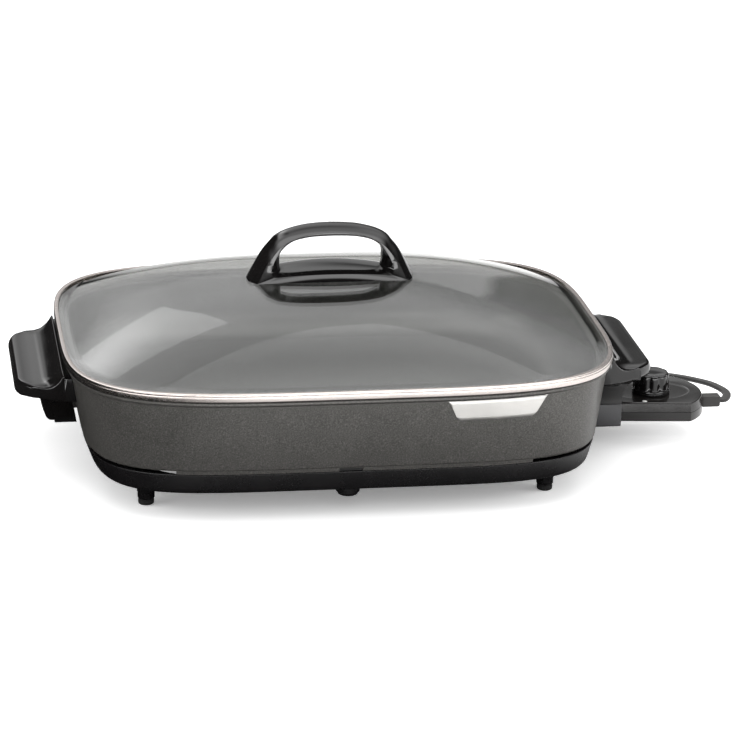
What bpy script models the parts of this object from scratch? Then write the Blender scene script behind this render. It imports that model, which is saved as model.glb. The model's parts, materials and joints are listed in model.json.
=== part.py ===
"""Electric skillet: a cast pan on a black base, a lift-off glass lid, and a plug-in heat control.

Metres, +Z up, standing on the plane z = 0. The pan's long side runs along X and its front is -Y.
Shapes are worked out in the pan's own frame, whose Z axis is the middle of the pan. The empty
called skillet_frame then moves everything along X, so that the origin lies under the middle of
the object without its cord.
"""

import math

import bmesh
import bpy
from mathutils import Matrix, Vector

# Clearances
GAP = 0.0003                     # between two pieces that touch
OVERRUN = 0.002                  # how far a cutting shape runs past what it cuts
RING_POINTS = 56                 # points round each rounded rectangle
ROUND_POINTS = 20                # points round a small turned piece
ARC_STEPS = 8                    # steps round each corner of an outline

# Lid band, the widest outline of the pan and lid
RIM_LENGTH = 0.4140
RIM_DEPTH = 0.3200
RIM_POWER = 4.05                 # how square the rounded rectangle is
BAND_SHEET = 0.0008
BAND_FLANGE = 0.0034
BAND_BEAD = 0.0004               # depth of the groove under its top bead

# Pan
FOOT_HEIGHT = 0.0404             # lower edge of its wall above the table
PAN_HEIGHT = 0.0536              # from there to the lid's band
WALL_SETBACK_X = 0.0035          # from the band in to the top of the wall, at the ends
WALL_SETBACK_Y = 0.0027          # and at the front and back
WALL_TAPER_X = 0.0101            # from there in to the wall's lower edge, at the ends
WALL_TAPER_Y = 0.0024
FOOT_POWER = 4.8
LIP_OVERHANG = 0.0020            # how far the lip stands out from the wall
LIP_THICKNESS = 0.0026
LIP_FLARE = 0.0013               # height over which the wall widens to the lip
LEDGE_SETBACK = 0.0060           # from the lip's outer edge to the step inside the rim
LEDGE_DROP = 0.0036
LEDGE_WIDTH = 0.0040
WALL_THICKNESS = 0.0036
FLOOR_THICKNESS = 0.0045
FLOOR_RISE = 0.0005              # the underside lies this much above the wall's lower edge
INNER_FILLET = 0.0200            # between the floor and the wall
STRIP_HEIGHT = 0.0033            # the strip that stands on the base under the straight sides
STRIP_THICKNESS = 0.0030
STRIP_SETBACK = 0.0005
CORNER_GAP_LENGTH = 0.0624       # the strip is left out this far from each corner, along X
CORNER_GAP_DEPTH = 0.0669        # and along Y
SLOT_WIDTH = 0.0175              # the opening in the middle of the front and back strip
SLOT_OFFSET = -0.0045
BOSS_RADIUS = 0.0060             # bosses under the floor that take the base screws
BOSS_X = 0.0850
BOSS_SETBACK = 0.0170            # from the base's lower front edge
BOSS_BORE = 0.0017
WELL_LENGTH = 0.0200             # the block under the floor that holds the tip of the probe
WELL_WIDTH = 0.0160
WELL_SETBACK = 0.0134
LUG_LENGTH = 0.0180              # lugs on the end walls that carry the side handles
LUG_WIDTH = 0.0100
LUG_HEIGHT = 0.0070
LUG_RISE = 0.0098                # above the foot of the hanging block
LUG_SETBACK = 0.0090             # from the end of the hanging block

# Base
BASE_HEIGHT = 0.0196             # from its bottom to the lower edge of the pan's wall
BASE_TOP_INSET = 0.0008          # inside the pan's lower edge
BASE_TAPER_X = 0.0074            # from the pan's lower edge in to its rounded lower edge
BASE_TAPER_Y = 0.0029
BASE_LOW_POWER = 5.4
BASE_WALL = 0.0026
BASE_FLANGE = 0.0320
BASE_EDGE_RADIUS = 0.0050
WINDOW_WIDTH = 0.0600            # the opening in the base behind the terminal guard
LEG_SETBACK_X = 0.0364
LEG_SETBACK_Y = 0.0440
LEG_RADIUS = 0.0068
LEG_EDGE = 0.0012
PAD_RADIUS = 0.0059
PAD_HEIGHT = 0.0042
PAD_EDGE = 0.0010
PAD_STEM_RADIUS = 0.0030
PAD_STEM = 0.0060
MIDFOOT_RADIUS = 0.0088          # the small rounded foot at the middle of the front and back
MIDFOOT_SETBACK = 0.0125
MIDFOOT_DROP = 0.0068

# Heating element and its terminals
ELEMENT_RADIUS = 0.0032
ELEMENT_SETBACK_X = 0.0410       # from the base's lower edge
ELEMENT_SETBACK_Y = 0.0600
ELEMENT_CORNER = 0.0450
ELEMENT_POWER = 3.6
ELEMENT_POINTS = 36
TERMINAL_SPACING = 0.0260
TERMINAL_RADIUS = 0.0024
TERMINAL_SETBACK = 0.0110        # from the lower end of the pan's wall
TERMINAL_LENGTH = 0.0336
BLOCK_THICKNESS = 0.0036
BLOCK_SETBACK = 0.0078
BLOCK_WIDTH = 0.0440
BLOCK_HEIGHT = 0.0120

# Side handles
GRIP_STAND_OFF = 0.0029          # from the top of the wall to the wall side of the grip
GRIP_REACH_OUT = 0.0366          # from there to the outer edge of the grip
GRIP_ROOT_DEPTH = 0.0180         # how far the blank runs inwards before the wall is cut away
GRIP_DROP = 0.0050               # from the band to the ridge of the grip
GRIP_HEIGHT = 0.0220
GRIP_HALF_ROOT = 0.0718          # half the grip's length beside the pan
GRIP_HALF_OUTER = 0.0605         # and at its outer edge
GRIP_CORNER = 0.0160
GRIP_BEVEL = 0.0010
HANGER_STAND_OFF = 0.0022        # the block that hangs down, outside the lower end of the wall
HANGER_REACH_OUT = 0.0086        # and outside the top of the wall
CONTROL_REACH_OUT = 0.0193       # the block over the heat control reaches further out
HANGER_HALF = 0.0400
HANGER_HALF_TOP = 0.0640         # it flares to this under the grip
HANGER_DROP = 0.0002             # its foot below the lower edge of the wall
APRON_SETBACK = 0.0050           # the curved apron outside the left block is narrower by this

# Terminal guard
GUARD_DEPTH = 0.0085             # its bottom below the probe's axis
GUARD_WALL = 0.0024

# Badge plate
BADGE_SETBACK = 0.0632           # from the right end of the wall
BADGE_LENGTH = 0.0750
BADGE_HEIGHT = 0.0151
BADGE_DROP = 0.0002
BADGE_SLANT_LEFT = 0.0059        # how far the left edge leans in by its foot
BADGE_SLANT_RIGHT = 0.0085
BADGE_CORNER = 0.0050            # height and width of its rounded lower corners
BADGE_THICKNESS = 0.0008
BADGE_COLUMNS = 30

# Lid
GLASS_THICKNESS = 0.0042
GLASS_RIM_WIDTH = 0.0046         # the flat edge that the band holds
DOME_RISE = 0.0408
DOME_POWER = 2.2                 # the outline near the top is rounder than at the rim
DOME_CURVE = 2.2                 # the dome falls from its top as this power of the way out
LID_HANDLE_HALF = 0.0645
LID_HANDLE_DEPTH = 0.0180        # from its middle to its face, at its feet
LID_HANDLE_TOP_DEPTH = 0.0106
LID_HANDLE_BOW = 0.0059          # its foot bows out by this between the feet
LID_HANDLE_HEIGHT = 0.0431
LID_HANDLE_SINK = 0.0012         # how far the blank runs into the dome before that is cut away
LID_HANDLE_BEVEL = 0.0006
LID_SCREW_SETBACK = 0.0115       # from the end of the lid handle
LID_SCREW_RADIUS = 0.0020
LID_SCREW_HEAD = 0.0045
LID_SCREW_LENGTH = 0.0130
LID_SCREW_HEAD_HEIGHT = 0.0022
WASHER_RADIUS = 0.0070
WASHER_THICKNESS = 0.0016

# Heat control
CONTROL_CLEARANCE = 0.0005       # from the terminal guard to the housing
KNOB_SETBACK = 0.0319            # from the housing's inner end to the knob's axis
CONTROL_END_RADIUS = 0.0412
CONTROL_WIDTH = 0.0656
AXIS_DROP = 0.0106               # the probe and terminals below the lower edge of the pan's wall
CONTROL_LOWER_HEIGHT = 0.0077    # from the housing's bottom to the line between its halves
CONTROL_UPPER_HEIGHT = 0.0075
PARTING_DROP = 0.0012            # that line below the probe's axis
CONTROL_SHELL = 0.0020
CONTROL_EDGE = 0.0012
RECESS_LENGTH = 0.0620
RECESS_WIDTH = 0.0420
RECESS_DEPTH = 0.0007
SHIELD_SETBACK = 0.0006          # inside the width of the housing's inner end
SHIELD_LENGTH = 0.0174
SHIELD_SHEET = 0.0010
SHIELD_DEPTH = 0.0054            # below the probe's axis
SHIELD_RISE = 0.0058             # above it
PROBE_RADIUS = 0.0031
PROBE_ENTRY = 0.0160             # how far the probe runs into its well
THERMOSTAT_LENGTH = 0.0400
THERMOSTAT_WIDTH = 0.0360
THERMOSTAT_SETBACK = 0.0094      # from the housing's inner end
SLEEVE_RADIUS = 0.0038
SLEEVE_BORE = 0.0028
SLEEVE_ENTRY = 0.0080            # how far a sleeve runs over its terminal pin
KNOB_RADIUS = 0.0122
KNOB_SKIRT_RADIUS = 0.0148
KNOB_SKIRT = 0.0030
KNOB_HEIGHT = 0.0160
KNOB_FLUTES = 10
KNOB_FLUTE_DEPTH = 0.0009
KNOB_WALL = 0.0022
SHAFT_RADIUS = 0.0030
SHAFT_COLLAR = 0.0048
SHAFT_COLLAR_HEIGHT = 0.0016
LENS_OFFSET = 0.0104             # from the knob's axis towards the pan
LENS_SETBACK = 0.0088            # from the front side of the housing
LENS_RADIUS = 0.0019
LENS_HEIGHT = 0.0034
RELIEF_LENGTH = 0.0145
RELIEF_HEIGHT = 0.0092
RELIEF_WIDTH = 0.0092
RELIEF_NECK = 0.0066
RELIEF_FLANGE = 0.0016
CONTROL_SCREW_CLEARANCE = 0.0050 # from the thermostat base to the axis of a housing screw
CONTROL_SCREW_Y = 0.0180

# Screws
SCREW_RADIUS = 0.0014
SCREW_HEAD_RADIUS = 0.0032
SCREW_HEAD_HEIGHT = 0.0018
SCREW_CLEARANCE = 0.0010         # from a screw's head to the side of the heat control
HANDLE_SCREW_LENGTH = 0.0150
BASE_SCREW_LENGTH = 0.0130
CONTROL_SCREW_LENGTH = 0.0090

# Cord
CORD_WIDTH = 0.0070
CORD_STEP = 0.0080               # between the points of the free stretch
COIL_RADIUS = 0.0412             # of the outer turn
TURN_GAP = 0.0008                # between turns and between layers
COIL_TURNS = 2
COIL_STEPS = 24                  # points a turn
COIL_X = 0.1650
COIL_FRONT_Y = 0.1830            # the lead runs into the coil along this line
COIL_TAIL = 0.0320
TIE_WIDTH = 0.0060
TIE_SHEET = 0.0006
PLUG_LENGTH = 0.0300
PLUG_WIDTH = 0.0250
PLUG_NECK_LENGTH = 0.0120
PLUG_NECK_WIDTH = 0.0090
PLUG_EDGE = 0.0020
BLADE_LENGTH = 0.0160
BLADE_HEIGHT = 0.0063
BLADE_SHEET = 0.0015
BLADE_SPACING = 0.0127

FULL_TURN = 2 * math.pi
QUARTER_TURN = math.pi / 2

# Heights that follow from those sizes, from the lid down to the base
BAND_BOTTOM = FOOT_HEIGHT + PAN_HEIGHT
BAND_HEIGHT = GLASS_THICKNESS + 2 * (BAND_SHEET + GAP)
BAND_TOP = BAND_BOTTOM + BAND_HEIGHT
GLASS_TOP = BAND_TOP - BAND_SHEET - GAP
DOME_TOP = GLASS_TOP + DOME_RISE
LIP_TOP = BAND_BOTTOM - GAP
WALL_TOP_HEIGHT = LIP_TOP - LIP_THICKNESS - LIP_FLARE
BADGE_TOP = WALL_TOP_HEIGHT - BADGE_DROP
BADGE_BOTTOM = BADGE_TOP - BADGE_HEIGHT
GRIP_HIGH = BAND_BOTTOM - GRIP_DROP
GRIP_LOW = GRIP_HIGH - GRIP_HEIGHT
HANGER_BOTTOM = FOOT_HEIGHT - HANGER_DROP
LUG_BOTTOM = HANGER_BOTTOM + LUG_RISE
UNDERSIDE = FOOT_HEIGHT + FLOOR_RISE
FLOOR_TOP = UNDERSIDE + FLOOR_THICKNESS
STRIP_BOTTOM = FOOT_HEIGHT - STRIP_HEIGHT
BASE_TOP = STRIP_BOTTOM - GAP
BASE_BOTTOM = FOOT_HEIGHT - BASE_HEIGHT
FLANGE_TOP = BASE_BOTTOM + BASE_WALL
MIDFOOT_BOTTOM = BASE_BOTTOM - MIDFOOT_DROP
CONTROL_AXIS = FOOT_HEIGHT - AXIS_DROP
CONTROL_PARTING = CONTROL_AXIS - PARTING_DROP
CONTROL_BOTTOM = CONTROL_PARTING - CONTROL_LOWER_HEIGHT
CONTROL_TOP = CONTROL_PARTING + CONTROL_UPPER_HEIGHT
GUARD_BOTTOM = CONTROL_AXIS - GUARD_DEPTH
SHIELD_BOTTOM = CONTROL_AXIS - SHIELD_DEPTH
SHIELD_TOP = CONTROL_AXIS + SHIELD_RISE
THERMOSTAT_BOTTOM = CONTROL_BOTTOM + CONTROL_SHELL + GAP
COLLAR_TOP = CONTROL_TOP - CONTROL_SHELL - GAP
COLLAR_BOTTOM = COLLAR_TOP - SHAFT_COLLAR_HEIGHT
THERMOSTAT_TOP = COLLAR_BOTTOM - GAP
RELIEF_AXIS = CONTROL_BOTTOM + CONTROL_SHELL + GAP + RELIEF_NECK / 2
CORD_LIFT = TIE_SHEET + GAP
COIL_PITCH = CORD_WIDTH + TURN_GAP
CORD_HEIGHT = CORD_WIDTH / 2 + CORD_LIFT
UPPER_CORD_HEIGHT = CORD_HEIGHT + COIL_PITCH

# Lengths and places that follow, from the pan outwards to the heat control
WALL_TOP_LENGTH = RIM_LENGTH - 2 * WALL_SETBACK_X
WALL_TOP_DEPTH = RIM_DEPTH - 2 * WALL_SETBACK_Y
LIP_LENGTH = WALL_TOP_LENGTH + 2 * LIP_OVERHANG
LIP_DEPTH = WALL_TOP_DEPTH + 2 * LIP_OVERHANG
GLASS_LENGTH = RIM_LENGTH - 2 * (BAND_SHEET + GAP)
GLASS_DEPTH = RIM_DEPTH - 2 * (BAND_SHEET + GAP)
DOME_LENGTH = GLASS_LENGTH - 2 * GLASS_RIM_WIDTH
DOME_DEPTH = GLASS_DEPTH - 2 * GLASS_RIM_WIDTH
LID_SCREW_X = LID_HANDLE_HALF - LID_SCREW_SETBACK
FOOT_LENGTH = WALL_TOP_LENGTH - 2 * WALL_TAPER_X
FOOT_DEPTH = WALL_TOP_DEPTH - 2 * WALL_TAPER_Y
CORNER_GAP_X = FOOT_LENGTH / 2 - CORNER_GAP_LENGTH
CORNER_GAP_Y = FOOT_DEPTH / 2 - CORNER_GAP_DEPTH
BADGE_RIGHT_X = WALL_TOP_LENGTH / 2 - BADGE_SETBACK
BADGE_LEFT_X = BADGE_RIGHT_X - BADGE_LENGTH
BASE_LOW_LENGTH = FOOT_LENGTH - 2 * BASE_TAPER_X
BASE_LOW_DEPTH = FOOT_DEPTH - 2 * BASE_TAPER_Y
LEG_X = BASE_LOW_LENGTH / 2 - LEG_SETBACK_X
LEG_Y = BASE_LOW_DEPTH / 2 - LEG_SETBACK_Y
MIDFOOT_Y = BASE_LOW_DEPTH / 2 - MIDFOOT_SETBACK
BOSS_Y = BASE_LOW_DEPTH / 2 - BOSS_SETBACK
ELEMENT_HALF_LENGTH = BASE_LOW_LENGTH / 2 - ELEMENT_SETBACK_X
ELEMENT_HALF_DEPTH = BASE_LOW_DEPTH / 2 - ELEMENT_SETBACK_Y
WELL_END_X = FOOT_LENGTH / 2 - WELL_SETBACK
PROBE_START_X = WELL_END_X - PROBE_ENTRY
TERMINAL_START_X = FOOT_LENGTH / 2 - TERMINAL_SETBACK
TERMINAL_END_X = TERMINAL_START_X + TERMINAL_LENGTH
SLEEVE_START_X = TERMINAL_END_X - SLEEVE_ENTRY
BLOCK_X = FOOT_LENGTH / 2 - BLOCK_SETBACK
GRIP_ROOT = WALL_TOP_LENGTH / 2 + GRIP_STAND_OFF
GRIP_REACH = GRIP_ROOT + GRIP_REACH_OUT
HANGER_ROOT = FOOT_LENGTH / 2 + HANGER_STAND_OFF
HANGER_REACH = WALL_TOP_LENGTH / 2 + HANGER_REACH_OUT
CONTROL_HANGER_REACH = WALL_TOP_LENGTH / 2 + CONTROL_REACH_OUT
APRON_HALF = HANGER_HALF - APRON_SETBACK
LUG_Y = HANGER_HALF - LUG_SETBACK
LUG_REACH = HANGER_REACH - GUARD_WALL
HANDLE_SCREW_X = (WALL_TOP_LENGTH / 2 + LUG_REACH) / 2
GUARD_HALF = HANGER_HALF
GUARD_ROOT = FOOT_LENGTH / 2 + GAP
GUARD_REACH = CONTROL_HANGER_REACH + GAP
CONTROL_ROOT_X = GUARD_REACH + CONTROL_CLEARANCE
CONTROL_ROOT_WIDTH = 2 * (LUG_Y - SCREW_HEAD_RADIUS - SCREW_CLEARANCE)
SHIELD_HALF = CONTROL_ROOT_WIDTH / 2 - SHIELD_SETBACK
SHIELD_START_X = CONTROL_ROOT_X - SHIELD_LENGTH
KNOB_X = CONTROL_ROOT_X + KNOB_SETBACK
CONTROL_END_X = KNOB_X + CONTROL_END_RADIUS
THERMOSTAT_X = CONTROL_ROOT_X + THERMOSTAT_SETBACK
LENS_X = KNOB_X - LENS_OFFSET
LENS_Y = LENS_SETBACK - CONTROL_WIDTH / 2
CONTROL_SCREW_X = THERMOSTAT_X + THERMOSTAT_LENGTH + CONTROL_SCREW_CLEARANCE
RELIEF_END_X = CONTROL_END_X + RELIEF_LENGTH
COIL_Y = COIL_FRONT_Y + COIL_RADIUS
FRAME_SHIFT = (GRIP_REACH - CONTROL_END_X) / 2

# The cross section of a side handle: shares of its reach from the wall and of its height.
# It runs from the ridge beside the rim, over the valley and the broad dished top, round the
# outer edge and back along the underside.
GRIP_SECTION_SHARES = (
    (0.00, 0.86), (0.00, 0.97), (0.03, 1.00), (0.06, 0.97), (0.12, 0.865), (0.19, 0.77),
    (0.26, 0.70), (0.33, 0.64), (0.40, 0.595), (0.47, 0.568), (0.60, 0.545), (0.74, 0.545),
    (0.86, 0.555), (0.92, 0.54), (0.97, 0.47), (1.00, 0.34), (1.00, 0.20), (0.98, 0.10),
    (0.93, 0.06), (0.74, 0.05), (0.47, 0.01), (0.00, 0.00),
)
# The hanging block from its foot to inside the grip: shares of the height between them, of the
# way from its reach to the middle of the grip, and of the way from its width to its flare.
HANGER_LEVEL_SHARES = (
    (0.00, 0.00, 0.00), (0.19, 0.03, 0.00), (0.42, 0.17, 0.05), (0.56, 0.34, 0.12),
    (0.70, 0.55, 0.26), (0.84, 0.74, 0.48), (0.96, 0.92, 0.80), (1.06, 1.00, 1.00),
    (1.30, 1.00, 1.00),
)
# The apron seen from the front: shares of the grip's reach and of the block's height.
APRON_SECTION_SHARES = (
    (0.10, 0.01), (0.22, 0.01), (0.276, 0.04), (0.33, 0.13), (0.38, 0.32), (0.407, 0.45),
    (0.43, 0.58), (0.47, 0.80), (0.53, 1.04), (0.44, 1.30), (0.10, 1.30),
)
# The right half of the lid handle seen from the front: shares of its half length and height.
# Its outline at its middle and on its faces, then its opening in the same two places.
ARCH_CROWN_SHARES = (
    (0.992, 0.00), (0.925, 0.20), (0.859, 0.39), (0.797, 0.54), (0.733, 0.657), (0.657, 0.784),
    (0.530, 0.884), (0.341, 0.96), (0.17, 0.99), (0.0, 1.00),
)
ARCH_FACE_SHARES = (
    (0.884, 0.00), (0.840, 0.15), (0.797, 0.281), (0.752, 0.39), (0.702, 0.487), (0.610, 0.64),
    (0.490, 0.752), (0.330, 0.835), (0.165, 0.872), (0.0, 0.884),
)
ARCH_THROAT_SHARES = (
    (0.595, 0.185), (0.606, 0.25), (0.608, 0.33), (0.606, 0.43), (0.595, 0.52), (0.545, 0.65),
    (0.430, 0.745), (0.280, 0.795), (0.140, 0.810), (0.0, 0.815),
)
ARCH_MOUTH_SHARES = (
    (0.704, 0.110), (0.728, 0.19), (0.716, 0.28), (0.690, 0.38), (0.650, 0.48), (0.574, 0.63),
    (0.462, 0.745), (0.300, 0.805), (0.150, 0.823), (0.0, 0.828),
)
ARCH_DEPTH_SHARES = (-1.0, -0.92, -0.76, -0.5, -0.2, 0.2, 0.5, 0.76, 0.92, 1.0)
ARCH_FLOOR_RISE_SHARE = 0.072    # the bar under the opening is higher at its middle
ARCH_FLOOR_STEPS = 8

# Route of the free cord, from the strain relief to the coil, in metres in the pan's frame.
CORD_ROUTE = (
    (0.3150, 0.0002, 0.0265), (0.3184, 0.0056, 0.0262), (0.3211, 0.0134, 0.0257),
    (0.3219, 0.0220, 0.0251), (0.3206, 0.0334, 0.0240), (0.3171, 0.0521, 0.0213),
    (0.3099, 0.0747, 0.0170), (0.3030, 0.0950, 0.0125), (0.2962, 0.1105, 0.0088),
    (0.2880, 0.1225, 0.0062), (0.2780, 0.1330, 0.0049), (0.2620, 0.1460, 0.0044),
    (0.2440, 0.1590, 0.0044), (0.2240, 0.1710, 0.0044), (0.2030, 0.1795, 0.0044),
)


def make_material(name, colour, roughness, metallic=0.0, transmission=0.0):
    """A plain finish for one material slot."""
    material = bpy.data.materials.new(name)
    material.use_nodes = True
    shader = material.node_tree.nodes["Principled BSDF"]
    shader.inputs["Base Color"].default_value = (*colour, 1.0)
    shader.inputs["Roughness"].default_value = roughness
    shader.inputs["Metallic"].default_value = metallic
    shader.inputs["Transmission Weight"].default_value = transmission
    material.diffuse_color = (*colour, 1.0)
    return material


MATERIALS = {}


def make_materials():
    """Every finish of the skillet, with colours as the photograph shows them."""
    rows = (
        ("coated_aluminium", (0.105, 0.102, 0.098), 0.42, 0.55, 0.0),
        ("black_phenolic", (0.012, 0.011, 0.011), 0.22, 0.0, 0.0),
        ("base_plastic", (0.016, 0.015, 0.016), 0.36, 0.0, 0.0),
        ("polished_steel", (0.62, 0.59, 0.57), 0.24, 1.0, 0.0),
        ("badge_metal", (0.72, 0.71, 0.70), 0.34, 1.0, 0.0),
        ("clear_glass", (0.80, 0.83, 0.82), 0.03, 0.0, 0.9),
        ("grey_rubber", (0.045, 0.045, 0.045), 0.62, 0.0, 0.0),
        ("element_sheath", (0.16, 0.15, 0.14), 0.45, 0.8, 0.0),
        ("white_ceramic", (0.70, 0.67, 0.60), 0.55, 0.0, 0.0),
        ("zinc_steel", (0.50, 0.50, 0.50), 0.35, 1.0, 0.0),
        ("lens_plastic", (0.82, 0.82, 0.80), 0.25, 0.0, 0.2),
        ("cord_jacket", (0.030, 0.029, 0.028), 0.55, 0.0, 0.0),
        ("blade_brass", (0.62, 0.47, 0.22), 0.30, 1.0, 0.0),
    )
    for name, colour, roughness, metallic, transmission in rows:
        MATERIALS[name] = make_material(name, colour, roughness, metallic, transmission)


def add_object(name, mesh, material=None, parent=None, place=(0, 0, 0)):
    """Puts a mesh in the skillet's collection, or with no material, among the cutting shapes."""
    item = bpy.data.objects.new(name, mesh)
    item.location = place
    if material is None:
        CUTTERS.objects.link(item)
        item.hide_render = True
        item.display_type = "WIRE"
    else:
        PARTS.objects.link(item)
        mesh.materials.clear()
        mesh.materials.append(MATERIALS[material])
        mesh.shade_smooth()
        mesh.set_sharp_from_angle(angle=math.radians(32))
    if parent is not None:
        item.parent = parent
    return item


def add_empty(name, place, parent=None):
    """An empty that stands on the axis of a joint, or carries the whole skillet."""
    empty = bpy.data.objects.new(name, None)
    empty.location = place
    empty.parent = parent
    PARTS.objects.link(empty)
    return empty


def finish_mesh(shape, name):
    """Turns the faces of a bmesh outwards and stores it as a mesh."""
    bmesh.ops.recalc_face_normals(shape, faces=shape.faces)
    mesh = bpy.data.meshes.new(name)
    shape.to_mesh(mesh)
    shape.free()
    return mesh


def loft_mesh(name, rings, closed=False):
    """Skins equal rings of points. The last ring joins the first, or flat caps close both ends."""
    shape = bmesh.new()
    rows = [[shape.verts.new(point) for point in ring] for ring in rings]
    pairs = list(zip(rows, rows[1:]))
    if closed:
        pairs.append((rows[-1], rows[0]))
    for low, high in pairs:
        for index, corner in enumerate(low):
            after = (index + 1) % len(low)
            shape.faces.new((corner, low[after], high[after], high[index]))
    if not closed:
        shape.faces.new(rows[0])
        shape.faces.new(rows[-1])
    return finish_mesh(shape, name)


def prism_mesh(name, outline, axis, low, high):
    """An outline pushed along X, Y or Z, from low to high."""
    shape = bmesh.new()
    corners = []
    for first, second in outline:
        point = {"x": (low, first, second), "y": (first, low, second), "z": (first, second, low)}
        corners.append(shape.verts.new(point[axis]))
    face = shape.faces.new(corners)
    moved = bmesh.ops.extrude_face_region(shape, geom=[face])
    travel = {"x": (high - low, 0, 0), "y": (0, high - low, 0), "z": (0, 0, high - low)}
    verts = [item for item in moved["geom"] if isinstance(item, bmesh.types.BMVert)]
    bmesh.ops.translate(shape, verts=verts, vec=travel[axis])
    return finish_mesh(shape, name)


def box_mesh(name, low, high):
    """A box between two corners."""
    shape = bmesh.new()
    bmesh.ops.create_cube(shape, size=1)
    size = [top - bottom for bottom, top in zip(low, high)]
    middle = [(top + bottom) / 2 for bottom, top in zip(low, high)]
    bmesh.ops.scale(shape, verts=shape.verts, vec=size)
    bmesh.ops.translate(shape, verts=shape.verts, vec=middle)
    return finish_mesh(shape, name)


def rod_mesh(name, radius, start, end, points=ROUND_POINTS):
    """A plain cylinder between two points."""
    start, end = Vector(start), Vector(end)
    shape = bmesh.new()
    bmesh.ops.create_cone(
        shape, cap_ends=True, segments=points, radius1=radius, radius2=radius,
        depth=(end - start).length,
    )
    turn = (end - start).to_track_quat("Z", "Y").to_matrix().to_4x4()
    bmesh.ops.transform(shape, matrix=Matrix.Translation((start + end) / 2) @ turn,
                        verts=shape.verts)
    return finish_mesh(shape, name)


def turned(name, profile, material, parent, place, points=ROUND_POINTS, closed=False):
    """A profile of (radius, height) turned about Z, run from top to bottom on its outer side."""
    mesh = bpy.data.meshes.new(name)
    edges = [(index, index + 1) for index in range(len(profile) - 1)]
    if closed:
        edges.append((len(profile) - 1, 0))
    mesh.from_pydata([(radius, 0, height) for radius, height in profile], edges, [])
    item = add_object(name, mesh, material, parent, place)
    screw = item.modifiers.new("turn", "SCREW")
    screw.steps = screw.render_steps = points
    screw.use_merge_vertices = True
    screw.merge_threshold = GAP / 30
    screw.use_smooth_shade = True
    screw.use_normal_calculate = False
    return item


def cut(item, mesh, operation="DIFFERENCE"):
    """Cuts, joins or intersects a piece with another shape."""
    other = add_object(f"{item.name}_{len(item.modifiers)}_{operation.lower()}", mesh)
    other.parent = item.parent
    other.location = item.location
    other.rotation_euler = item.rotation_euler
    modifier = item.modifiers.new(operation.lower(), "BOOLEAN")
    modifier.operation = operation
    modifier.solver = "EXACT"
    modifier.object = other
    return other


def soften(item, width, segments=2, angle=35):
    """Rounds the sharp edges of a piece."""
    bevel = item.modifiers.new("edges", "BEVEL")
    bevel.width = width
    bevel.segments = segments
    bevel.limit_method = "ANGLE"
    bevel.angle_limit = math.radians(angle)
    bevel.harden_normals = False


def superellipse(half_length, half_depth, power, points=RING_POINTS):
    """A rounded rectangle as one smooth curve, counter-clockwise from +X."""
    ring = []
    for index in range(points):
        ring.append(superellipse_point(half_length, half_depth, power, FULL_TURN * index / points))
    return ring


def superellipse_point(half_length, half_depth, power, angle):
    """One point of a rounded rectangle."""
    cosine, sine = math.cos(angle), math.sin(angle)
    return (half_length * math.copysign(abs(cosine) ** (2 / power), cosine),
            half_depth * math.copysign(abs(sine) ** (2 / power), sine))


def rounded(corners, steps=ARC_STEPS):
    """A closed outline of (x, y, radius) corners, each rounded by an arc of its radius."""
    outline = []
    for index, (x, y, radius) in enumerate(corners):
        corner = Vector((x, y))
        before = (Vector(corners[index - 1][:2]) - corner).normalized()
        after = (Vector(corners[(index + 1) % len(corners)][:2]) - corner).normalized()
        half_angle = before.angle(after) / 2
        if radius == 0 or half_angle > math.radians(88):
            outline.append((x, y))
            continue
        middle = corner + (before + after).normalized() * (radius / math.sin(half_angle))
        start = corner + before * (radius / math.tan(half_angle)) - middle
        end = corner + after * (radius / math.tan(half_angle)) - middle
        sweep = start.angle_signed(end)
        for step in range(steps + 1):
            angle = -sweep * step / steps
            turned_x = start.x * math.cos(angle) - start.y * math.sin(angle)
            turned_y = start.x * math.sin(angle) + start.y * math.cos(angle)
            outline.append((middle.x + turned_x, middle.y + turned_y))
    return outline


def mirrored(corners):
    """Completes half an outline, given from right to left, with its mirror image."""
    return list(corners) + [(-x, y, radius) for x, y, radius in reversed(corners)]


def flat_ring(outline, height):
    return [(x, y, height) for x, y in outline]


def mix(low, high, share):
    return low + (high - low) * share


def pan_outline(height, inset=0.0):
    """The outside of the pan's wall at a height, drawn in by an inset."""
    share = (height - FOOT_HEIGHT) / (WALL_TOP_HEIGHT - FOOT_HEIGHT)
    length = mix(FOOT_LENGTH, WALL_TOP_LENGTH, share) / 2 - inset
    depth = mix(FOOT_DEPTH, WALL_TOP_DEPTH, share) / 2 - inset
    return superellipse(length, depth, mix(FOOT_POWER, RIM_POWER, share))


def pan_ring(height, inset=0.0):
    return flat_ring(pan_outline(height, inset), height)


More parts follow.
